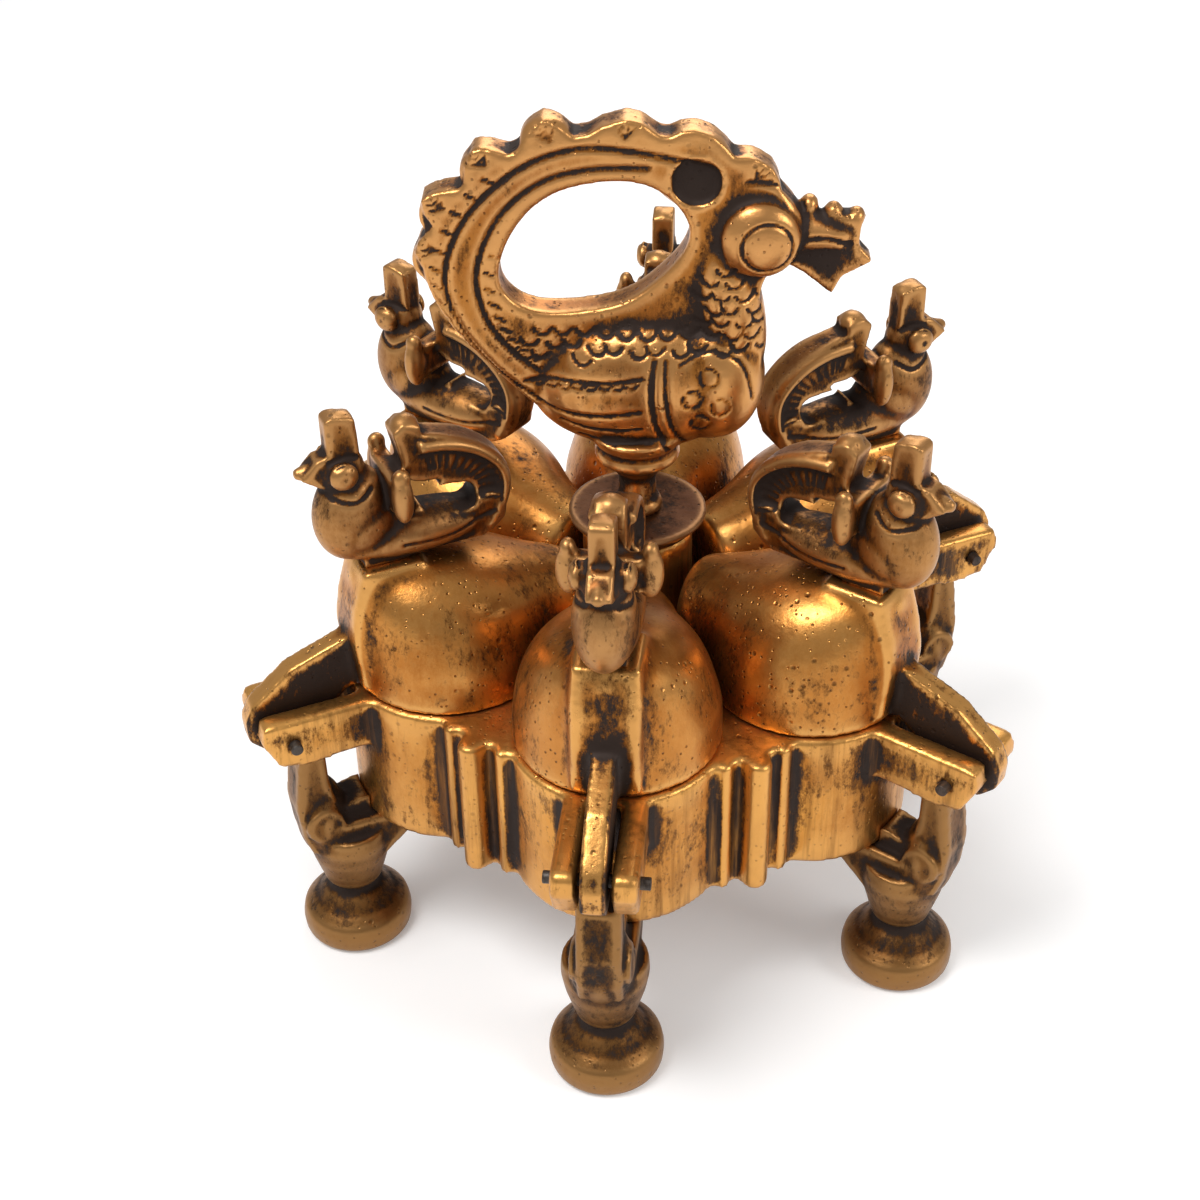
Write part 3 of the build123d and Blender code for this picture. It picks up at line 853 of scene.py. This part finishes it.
@dataclass
class Cup:
    """The lobed cup with pockets, post, corner mouldings and clevis lugs."""

    grain: float = 0.88
    wall_top: float = 63.0
    wall_bottom: float = 32.0
    lobe_reach: float = 61.7

    def build(self) -> None:
        """Cast the cup and coat it."""
        piece = cast_together([from_node("base", 0.0)], "lobed_cup", self.grain, 3)
        record_relief(piece)
        points = positions(piece)
        height = points[:, 2]
        stain = 0.30 * band(height, self.wall_top - 6.0, self.wall_top - 0.5) * (height < self.wall_top - 0.4)
        stain += 0.25 * band(-height, -self.wall_bottom - 6.0, -self.wall_bottom)
        for lobe in range(LOBES):
            turn = FRONT_ANGLE + lobe * LOBE_STEP
            out, across = lobe_frame(points, turn)
            wall = band(out, self.lobe_reach - 6.0, self.lobe_reach - 1.5) * (out < self.lobe_reach + 1.0)
            stain += 0.34 * wall * np.exp(-(((np.abs(across) - 9.0) / 3.5) ** 2))
            lug_side = band(out, self.lobe_reach, self.lobe_reach + 2.0) * (np.abs(across) < 9.0)
            stain += 0.50 * lug_side * band(-height, -self.wall_top + 0.8, -self.wall_top + 2.5)
            corner_out, corner_across = lobe_frame(points, turn + LOBE_STEP / 2)
            flute = band(corner_out, 44.0, 50.0) * band(-np.abs(corner_across), -11.5, -8.5)
            stain += 0.08 * flute * (height < self.wall_top - 1.0)
        finish_piece(piece, "base", "base", WALL_BRASS, stain)


@dataclass
class Legs(LobeSet):
    """The six legs: mushroom foot, column, bowl and a head under the clevis."""

    pieces: str = "bird_leg_{}"
    solids: str = "leg_{}"
    bodies: str = "base"
    metal: Metal = LEG_BRASS
    grain: float = 0.48
    axis_r: float = 65.6
    head_out: float = 71.4
    head_z: float = 33.0

    def model(self) -> Piece:
        """Cast one leg."""
        parts = [from_node("leg_1", -FRONT_ANGLE)]
        parts.append(peg((self.axis_r, 0, 9.4), 9.6, 5.0, 5.4, (0, 0, 0)))
        parts.append(ring((self.axis_r, 0, 15.2), 5.4, 0.7, (0, 0, 0)))
        parts.append(ring((self.axis_r, 0, 21.0), 7.3, 0.5, (0, 0, 0)))
        parts.append(egg((self.head_out - 0.5, 0, self.head_z - 1.5), (10.5, 12.6, 20.0)))
        parts.append(egg((self.head_out - 2.0, 0, self.head_z - 6.0), (11.0, 13.0, 9.0)))
        leg = cast_together(parts, "bird_leg", self.grain, 9)
        record_relief(leg)
        return leg

    def stain(self, out: np.ndarray, across: np.ndarray, height: np.ndarray, lobe: int) -> np.ndarray:
        """Darker behind the head and round the column, over a clean foot."""
        around = np.hypot(out - self.axis_r, across)
        stain = 0.5 * band(height, 28.0, 36.0) * (out < 69.0)
        stain += 0.35 * band(-around, -9.5, -6.0) * band(-height, -18.0, -8.0)
        return stain - 0.45 * band(-height, -7.5, -5.0)


@dataclass
class Lids(LobeSet):
    """The six hollow petal lids with their seats and hinge tongues."""

    pieces: str = "petal_lid_{}"
    solids: str = "lid_{}"
    bodies: str = "petal_{}"
    metal: Metal = LID_BRASS
    grain: float = 0.56
    seat_top: float = 91.1

    def model(self) -> Piece:
        """Cast one lid and round off its dome."""
        lid = cast_together([from_node("lid_1", -FRONT_ANGLE)], "petal_lid", self.grain, 8)
        out, _, height = positions(lid).T
        weigh(lid, "dome", band(height, 66.0, 71.0) * band(-out, -62.5, -60.5) * band(-height, -91.4, -89.5))
        apply_modifier(lid, "SMOOTH", factor=0.5, iterations=45, vertex_group="dome")
        record_relief(lid)
        return lid

    def stain(self, out: np.ndarray, across: np.ndarray, height: np.ndarray, lobe: int) -> np.ndarray:
        """Patina down the middle band and on the tongue's sides, painted shade under the bird's seat and on
        the flanks between lids, and darker along the lower edge and towards the inner tip.
        """
        side = np.abs(across)
        strength = 0.62 if lobe == 0 else 0.30
        mid_band = band(-side, -9.0, -2.0) * band(out, 55.0, 59.5)
        # Painted shade: the crevice under the bird's seat, where the bird meets the lid.
        painted_shade_under_bird = band(height, self.seat_top - 1.6, self.seat_top - 0.2) * band(-side, -8.5, -5.0)
        painted_shade_under_bird *= band(out, 31.0, 36.0)
        tongue_side = (out > 62.5) * (side > 1.7) * (side < 2.6) * 0.75
        seam = 0.45 * band(-height, -66.0, -63.4) * (out > 20.0)
        tip = 0.35 * band(-out, -30.0, -16.0)
        # Painted shade on the flanks, in the gaps between neighbouring lids.
        painted_shade_on_flanks = 0.26 * band(side, 12.0, 17.0) * band(-out, -56.0, -46.0)
        return strength * mid_band + 0.60 * painted_shade_under_bird + tongue_side + seam + tip + painted_shade_on_flanks


@dataclass
class LidBirds(LobeSet):
    """The six small birds that look outwards from the lids."""

    pieces: str = "small_bird_{}"
    solids: str = "lid_bird_{}"
    bodies: str = "petal_{}"
    metal: Metal = BIRD_BRASS
    grain: float = 0.42
    length: float = 41.0
    height: float = 33.0
    middle_out: float = 48.6
    seat_top: float = 91.1
    eye_at: Point2 = (0.28, 0.645)
    loop_at: Point2 = (-0.19, 0.34)

    def at(self, u: float, v: float) -> Point2:
        """Place in the bird's middle plane from shares of its length and height."""
        return (self.middle_out + u * self.length, self.seat_top + v * self.height)

    def spot(self, u: float, v: float, across: float = 0.0) -> Point3:
        """Place in space from shares of the bird's length and height."""
        out, up = self.at(u, v)
        return (out, across, up)

    def strokes(self) -> list[Stroke]:
        """Lines cut into the bird's sides: hull lines, loop hatching, throat rings and the crown's groove."""
        cuts = [
            Stroke(bent([self.at(-0.42, 0.18), self.at(-0.2, 0.12), self.at(0.04, 0.13)]), 0.40, 0.6),
            Stroke(bent([self.at(0.19, 0.71), self.at(0.26, 0.73), self.at(0.33, 0.71)]), 0.45, 0.8),
            Stroke(bent([self.at(0.16, 0.52), self.at(0.24, 0.47), self.at(0.34, 0.50)]), 0.45, 0.8),
        ]
        middles = [(-0.455, 0.24), (-0.45, 0.42), (-0.35, 0.555), (-0.20, 0.63), (-0.10, 0.64)]
        loop = bent([self.at(u, v) for u, v in middles])
        cuts.append(Stroke(loop, 0.45, 0.7))
        centre = np.array(self.at(-0.18, 0.33))
        for x, z in loop[1:-1:2]:
            rim = np.array((x, z))
            inner = centre + 0.66 * (rim - centre)
            cuts.append(Stroke(((float(x), float(z)), (float(inner[0]), float(inner[1]))), 0.30, 0.45))
        return cuts

    def model(self) -> Piece:
        """Cast one bird."""
        parts = [from_node("lid_bird_1", -FRONT_ANGLE)]
        loop = [(-0.40, 0.08), (-0.49, 0.27), (-0.47, 0.46), (-0.35, 0.61), (-0.20, 0.685), (-0.08, 0.69)]
        for across in (-3.1, 3.1):
            parts.append(rod([self.spot(u, v, across) for u, v in loop], 1.25, False))
        for side in (-1, 1):
            parts.append(egg(self.spot(*self.eye_at, side * 4.5), (5.6, 2.6, 5.6)))
            parts.append(ring(self.spot(*self.eye_at, side * 5.4), 1.2, 0.5))
            parts.append(egg(self.spot(0.20, 0.27, side * 2.2), (12.5, 7.4, 12.0)))
            parts.append(egg(self.spot(0.04, 0.60, side * 7.2), (3.6, 3.0, 4.0)))
        parts.append(peg(self.spot(0.40, 0.645), 2.9, 6.6, 0.9, (0, 90, 0)))
        parts.append(egg(self.spot(-0.045, 0.80), (5.4, 5.8, 4.6)))
        parts.append(egg(self.spot(0.255, 0.93), (5.6, 4.4, 3.4)))
        parts.append(egg(self.spot(0.235, 0.33), (15.0, 11.6, 20.0), -8.0))
        parts.append(egg(self.spot(-0.03, 0.135), (33.0, 12.0, 10.0)))
        bird = cast_together(parts, "small_bird", self.grain, 6)
        engrave(bird, self.strokes(), 0.45)
        record_relief(bird)
        return bird

    def stain(self, out: np.ndarray, across: np.ndarray, height: np.ndarray, lobe: int) -> np.ndarray:
        """Painted shade on the foot where it meets the lid, patina round the eye and in the tail's loop, off
        the crown and the hull.
        """
        eye_out, eye_up = self.at(*self.eye_at)
        loop_out, loop_up = self.at(*self.loop_at)
        # Painted shade along the foot, in the crevice where the bird meets the lid.
        stain = 0.8 * band(-height, -self.seat_top - 2.6, -self.seat_top - 0.6)
        eye = np.hypot(out - eye_out, height - eye_up)
        stain += 0.6 * band(-eye, -1.0, -0.4) * (np.abs(across) > 3.0)
        loop = np.hypot((out - loop_out) / 9.0, (height - loop_up) / 5.5)
        stain += 0.45 * band(-loop, -1.35, -0.80)
        stain -= 0.75 * band(height, 118.5, 121.5)
        return stain - 0.30 * band(-height, -98.5, -95.0) * band(height, 93.2, 94.5)


@dataclass
class Nails:
    """The six cut iron nails in the hinges, each hammered a little differently."""

    pin_r: float = 1.2
    length: float = 19.4
    axis_r: float = 76.0
    axis_z: float = 57.4

    def build(self) -> None:
        """Model each nail from a cylinder and coat it."""
        for lobe in range(LOBES):
            bpy.ops.object.select_all(action="DESELECT")
            bpy.ops.mesh.primitive_cylinder_add(vertices=24, radius=self.pin_r * MM, depth=self.length * MM)
            nail = bpy.context.active_object
            nail.name = "hinge_nail_%d" % (lobe + 1)
            bpy.ops.object.mode_set(mode="EDIT")
            bpy.ops.mesh.select_all(action="DESELECT")
            bpy.ops.object.mode_set(mode="OBJECT")
            for face in nail.data.polygons:
                face.select = abs(face.normal.z) > 0.9
            bpy.ops.object.mode_set(mode="EDIT")
            bpy.ops.mesh.inset(thickness=0.35 * self.pin_r * MM)
            bpy.ops.transform.translate(value=(0.1 * MM * (lobe % 3 - 1), 0.1 * MM * (lobe % 2), 0.0))
            bpy.ops.mesh.select_all(action="SELECT")
            bpy.ops.object.mode_set(mode="OBJECT")
            apply_modifier(nail, "BEVEL", width=0.22 * MM, segments=3, limit_method="ANGLE")
            turn = FRONT_ANGLE + lobe * LOBE_STEP
            nail.data.transform(Matrix.Rotation(math.pi / 2, 4, "X"))
            nail.data.transform(Matrix.Translation((self.axis_r * MM, 0.0, self.axis_z * MM)))
            nail.data.transform(Matrix.Rotation(turn, 4, "Z"))
            finish_piece(nail, "base", "hinge_pin_%d" % (lobe + 1), NAIL_IRON)


@dataclass
class Collar:
    """The round disc between the post and the handle, and the screw that passes through it."""

    grain: float = 0.36
    stud_r: float = 3.2
    thread_depth: float = 0.45
    pitch: float = 1.5

    def build(self) -> None:
        """Cast the disc and cut the screw."""
        disc = cast_together([from_node("collar", 0.0)], "middle_collar", self.grain, 4)
        record_relief(disc)
        points = positions(disc)
        edge = np.hypot(points[:, 0], points[:, 1])
        stain = -0.5 * band(edge, 12.6, 13.4) + 0.25 * band(-edge, -10.0, -6.0)
        finish_piece(disc, "clamp", "collar", DISC_PATINA, stain)
        self.screw()

    def screw(self) -> None:
        """Cut the screw's thread over a core."""
        low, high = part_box("handle_stud")
        bottom = low[2] / MM + 1.0
        top = high[2] / MM
        core_r = self.stud_r - self.thread_depth
        core = peg((0, 0, (bottom + top - 1.0) / 2), core_r, top - bottom + 1.0, core_r, (0, 0, 0))
        turns = int((top - bottom - self.pitch) / self.pitch)
        crest_r = self.stud_r - 0.5 * self.thread_depth
        steps = 24
        helix = []
        for step in range(turns * steps + 1):
            angle = 2 * math.pi * step / steps
            rise = bottom + self.pitch * step / steps + 0.5
            helix.append((crest_r * math.cos(angle), crest_r * math.sin(angle), rise))
        thread = rod(helix, 0.48 * self.thread_depth, False)
        piece = joined([core, thread], "screw_stud")
        finish_piece(piece, "handle", "handle_stud", NAIL_IRON)


@dataclass
class Handle:
    """The large bird: body, neck and head, and a tail that closes to a scalloped ring."""

    grain: float = 0.55
    turn: float = math.radians(5.0)
    eye_half: float = 5.8
    eye_at: Point2 = (23.4, 146.4)
    socket_at: Point2 = (10.67, 157.5)
    ring_middle: Point2 = (-4.0, 138.0)
    crest_width: float = 6.8
    crest_root: float = 2.4

    def ring_lines(self) -> list[Stroke]:
        """The two lines along the tail's ring, and the hatching beside its opening."""
        outer = bent([
            (9.0, 161.3), (-2.9, 163.6), (-11.8, 163.6), (-21.5, 159.6), (-30.6, 150.8),
            (-35.0, 139.8), (-33.0, 129.4), (-26.8, 120.2), (-20.0, 114.6),
        ])
        inner = bent([
            (2.0, 160.2), (-8.3, 160.0), (-17.3, 157.4), (-25.0, 150.5),
            (-29.2, 140.2), (-28.0, 131.2), (-24.1, 124.8), (-18.5, 119.6),
        ])
        cuts = [Stroke(outer, 0.42), Stroke(inner, 0.42, 0.9)]
        for x, z in inner[22:40:2]:
            cuts.append(Stroke(((x + 1.6, z - 0.2), (x + 3.4, z - 1.0)), 0.28, 0.6))
        for x, z in outer[20:44:2]:
            cuts.append(Stroke(((x - 0.9, z + 0.4), (x - 2.6, z + 1.2)), 0.28, 0.6))
        return cuts

    def scales(self) -> list[Stroke]:
        """Rows of small U-shaped feathers on the neck and along the back."""
        neck = [
            (2.0, 124.0), (9.0, 133.0), (13.0, 144.0), (18.0, 141.0),
            (26.5, 134.0), (24.5, 125.0), (14.0, 124.0),
        ]
        back = [
            (-22.0, 128.0), (-14.5, 129.0), (-1.0, 129.5), (4.5, 130.5),
            (4.0, 124.6), (-10.0, 123.2), (-20.0, 122.4),
        ]
        cuts = []
        spacing = 3.9
        for border in (neck, back):
            for row in range(12):
                for column in range(-9, 11):
                    sway = 0.5 * math.sin(7.3 * row + 3.1 * column)
                    along = column * spacing + 0.5 * spacing * (row % 2) + sway
                    spot = (along, 120.5 + 2.6 * row - 0.6 * sway)
                    if inside(spot, border):
                        tilt = 14.0 * sway
                        arc = bow((spot[0], spot[1] + 0.8), 1.75, 195.0 + tilt, 345.0 + tilt, 6)
                        cuts.append(Stroke(arc, 0.30, 0.75))
        return cuts

    def body_lines(self) -> list[Stroke]:
        """Wing feathers, the double line before the breast, breast flowers, socket rim and beak line."""
        cheek = [(20.0, 157.6), (25.4, 156.8), (29.4, 152.8), (30.2, 147.4), (27.6, 141.0)]
        cuts = [
            Stroke(bent([(-21.0, 117.4), (-15.0, 119.0), (-7.0, 119.4), (1.0, 120.8)]), 0.38, 0.8),
            Stroke(bent([(-19.6, 114.0), (-13.5, 112.4), (-6.0, 112.6), (0.6, 113.8)]), 0.36, 0.8),
            Stroke(bent([(-14.4, 110.4), (-9.0, 109.2), (-3.0, 109.2), (0.8, 109.8)]), 0.34, 0.7),
            Stroke(bent([(-11.0, 107.0), (-6.8, 106.2), (-1.4, 106.0), (1.2, 106.6)]), 0.34, 0.6),
            Stroke(bent([(3.2, 124.0), (2.8, 117.6), (3.6, 110.6), (6.0, 103.8)]), 0.48),
            Stroke(bent([(5.4, 124.0), (5.4, 117.6), (6.4, 110.6), (9.0, 104.6)]), 0.36, 0.8),
            Stroke(bent([(8.0, 123.2), (14.0, 125.4), (19.6, 122.6), (21.8, 115.0)]), 0.32, 0.6),
            Stroke(bent(cheek), 0.42, 0.9),
            Stroke(bow(self.eye_at, 4.7, 0.0, 360.0, 24), 0.34, 0.8),
            Stroke(bent([(30.0, 146.6), (34.0, 146.6), (38.6, 145.0)]), 0.42, 0.9),
        ]
        for step in range(8):
            x = -18.6 + 2.5 * step
            cuts.append(Stroke(bow((x, 118.2 + 0.25 * step), 1.2, 190.0, 350.0, 6), 0.26, 0.6))
        for x, z in ((13.4, 120.6), (10.4, 116.2), (15.6, 114.4), (12.0, 110.6)):
            for start in (20.0, 150.0, 270.0):
                cuts.append(Stroke(bow((x, z), 1.8, start, start + 90.0, 6), 0.26, 0.55))
        fans = [(-36.6, 144.4), (-34.6, 152.6), (-26.6, 160.8), (-15.2, 165.4), (-2.0, 165.8), (21.0, 158.0)]
        for x, z in fans:
            out = math.atan2(z - self.ring_middle[1], x - self.ring_middle[0])
            for lean in (-0.7, -0.25, 0.25, 0.7):
                tip = (x + 3.4 * math.cos(out + lean), z + 3.4 * math.sin(out + lean))
                cuts.append(Stroke(((x, z), tip), 0.26, 0.5))
        return cuts

    def crest(self) -> list[Piece]:
        """Fan-shaped scallops along the ring's outer edge, each with a blunt tip.

        Returns:
            One plate per scallop.
        """
        tips = [
            (-40.2, 143.6), (-38.6, 154.0), (-28.8, 163.8), (-16.4, 169.2),
            (-1.8, 169.0), (10.2, 167.2), (22.0, 161.2),
        ]
        dips = [
            (-37.0, 138.6), (-36.4, 148.4), (-30.8, 156.2), (-21.6, 162.2),
            (-10.4, 165.2), (4.6, 165.2), (17.2, 162.0), (25.6, 156.0),
        ]
        middle = Vector(self.ring_middle)
        plates = []
        for tip, start, end in zip(tips, dips[:-1], dips[1:]):
            first, last, peak = Vector(start), Vector(end), Vector(tip)
            outwards = (0.5 * (first + last) - middle).normalized()
            border = [first - self.crest_root * outwards, first]
            border.append(first.lerp(peak, 0.5) + 0.7 * outwards)
            border.append(peak)
            border.append(peak.lerp(last, 0.4) + 1.0 * outwards)
            border.append(peak.lerp(last, 0.8) + 0.7 * outwards)
            border += [last, last - self.crest_root * outwards]
            plates.append(plate([(point.x, point.y) for point in border], self.crest_width))
        return plates

    def model(self) -> Piece:
        """Cast the bird on the X-Z plane.

        Returns:
            The bird, engraved and with its relief kept.
        """
        parts = [from_node("handle_bird", -self.turn)]
        eye_x, eye_z = self.eye_at
        socket_x, socket_z = self.socket_at
        for side in (-1, 1):
            parts.append(egg((22.3, side * (self.eye_half - 1.6), 146.9), (14.4, 7.6, 14.4)))
            parts.append(peg((eye_x, side * self.eye_half, eye_z), 3.7, 3.4, 3.5, (90, 0, 0)))
            parts.append(ring((socket_x, side * 3.4, socket_z), 4.9, 0.5))
        parts.append(egg((1.2, 0, 115.4), (43.5, 18.8, 26.5), -2.0))
        parts.append(egg((15.0, 0, 117.0), (18.6, 17.6, 26.0)))
        parts.append(egg((21.0, 0, 147.0), (18.0, 10.0, 17.0)))
        parts.append(peg((33.0, 0, 146.6), 4.6, 10.0, 3.0, (0, 98, 0)))
        for out, up in ((31.0, 152.0), (35.4, 150.6), (39.6, 149.6)):
            parts.append(egg((out, 0, up), (3.4, 4.6, 3.6)))
        parts.extend(self.crest())
        bird = cast_together(parts, "ring_tailed_bird", self.grain, 7)
        engrave(bird, self.ring_lines() + self.scales() + self.body_lines(), 0.60)
        record_relief(bird)
        return bird

    def build(self) -> None:
        """Cast the handle, turn it to its place and coat it."""
        bird = self.model()
        points = positions(bird)
        x, y, z = points.T
        spots = (self.socket_at, self.eye_at, self.ring_middle)
        socket, eye, middle = (np.hypot(x - out, z - up) for out, up in spots)
        stain = 0.42 * band(x, 28.0, 32.5)
        stain += 0.85 * band(-socket, -4.8, -4.2)
        stain += 0.45 * band(-z, -101.0, -95.0)
        stain -= 0.25 * band(-eye, -3.9, -3.4)
        stain += 0.45 * band(-np.abs(y), -2.9, -2.4) * band(middle, 22.0, 27.0)
        bird.data.transform(Matrix.Rotation(self.turn, 4, "Z"))
        finish_piece(bird, "handle", "handle_bird", HANDLE_BRASS, stain)


# Studio


@dataclass
class Studio:
    """Pale floor, soft lamps, world and the camera at the photograph's place."""

    camera_place: Point3 = (32.4, -331.3, 305.8)
    looking: Point3 = (-0.0975, 0.8031, -0.5878)
    roll: float = math.radians(-0.95)
    lens: float = 60.0
    world_light: float = 0.45

    def build(self) -> None:
        """Add the floor, the lamps, the world and the camera."""
        self.floor()
        self.lamp("key lamp", (-0.28, -0.26, 0.78), 0.34, 4.4)
        self.lamp("side lamp", (0.60, -0.20, 0.45), 0.30, 1.5)
        self.lamp("back lamp", (0.05, 0.60, 0.55), 0.45, 1.8)
        self.world()
        self.camera()
        bpy.context.scene.view_settings.view_transform = "Standard"

    def floor(self) -> None:
        """Add the floor, which shows white to the camera and keeps the shadow."""
        bpy.ops.mesh.primitive_plane_add(size=8.0, location=(0.0, 0.0, 0.0))
        floor = bpy.context.active_object
        floor.name = "studio_floor"
        material = bpy.data.materials.new("pale floor")
        material.use_nodes = True
        wiring = Wiring(material.node_tree)
        material.node_tree.nodes.remove(material.node_tree.nodes["Principled BSDF"])
        matt = wiring.add("ShaderNodeBsdfDiffuse", {"Color": (0.86, 0.86, 0.86, 1.0)})
        path = wiring.add("ShaderNodeLightPath")
        seen = wiring.math("MAXIMUM", path.outputs["Is Camera Ray"], path.outputs["Is Glossy Ray"])
        seen = wiring.times(wiring.math("MAXIMUM", seen, path.outputs["Is Transmission Ray"]), 0.22)
        glow = wiring.add("ShaderNodeEmission", {"Color": (1.0, 1.0, 1.0, 1.0), "Strength": seen})
        both = wiring.add("ShaderNodeAddShader", {0: matt.outputs[0], 1: glow.outputs[0]})
        output = material.node_tree.nodes["Material Output"]
        wiring.join(both.outputs[0], output.inputs["Surface"])
        floor.data.materials.append(material)

    def lamp(self, name: str, place: Point3, size: float, power: float) -> None:
        """Add one square soft lamp that looks at the box.

        Args:
            name: Its name.
            place: Its place in metres.
            size: Its side in metres.
            power: Its power in watts.
        """
        light = bpy.data.lights.new(name, "AREA")
        light.size = size
        light.energy = power
        lamp = bpy.data.objects.new(name, light)
        lamp.location = place
        aim = Vector((0.0, 0.0, 0.08)) - Vector(place)
        lamp.rotation_euler = aim.to_track_quat("-Z", "Y").to_euler()
        bpy.context.scene.collection.objects.link(lamp)

    def world(self) -> None:
        """White round the camera and a soft even light on the box."""
        world = bpy.data.worlds.new("studio world")
        world.use_nodes = True
        wiring = Wiring(world.node_tree)
        path = wiring.add("ShaderNodeLightPath")
        seen = wiring.math("MAXIMUM", path.outputs["Is Camera Ray"], path.outputs["Is Transmission Ray"])
        strength = wiring.total(wiring.times(seen, 1.0 - self.world_light), self.world_light)
        background = world.node_tree.nodes["Background"]
        background.inputs["Color"].default_value = (1.0, 1.0, 1.0, 1.0)
        wiring.join(strength, background.inputs["Strength"])
        bpy.context.scene.world = world

    def camera(self) -> None:
        """Place the camera where the photograph was taken from."""
        forward = Vector(self.looking).normalized()
        right = forward.cross(Vector((0.0, 0.0, 1.0))).normalized()
        up = right.cross(forward)
        leaned_right = math.cos(self.roll) * right + math.sin(self.roll) * up
        leaned_up = -math.sin(self.roll) * right + math.cos(self.roll) * up
        turn = Matrix((leaned_right, leaned_up, -forward)).transposed().to_4x4()
        data = bpy.data.cameras.new("photo camera")
        data.lens = self.lens
        data.sensor_width = 36.0
        data.clip_start = 0.01
        camera = bpy.data.objects.new("photo camera", data)
        camera.matrix_world = Matrix.Translation([MM * value for value in self.camera_place]) @ turn
        bpy.context.scene.collection.objects.link(camera)
        bpy.context.scene.camera = camera


def main() -> None:
    """Build the box and the studio in order."""
    build_pits_group()
    build_grime_group()
    build_brushing_group()
    for part in (Cup(), Legs(), Lids(), LidBirds(), Nails(), Collar(), Handle()):
        part.build()
        log.info("%s done", type(part).__name__)
    Studio().build()


if __name__ == "__main__":
    main()
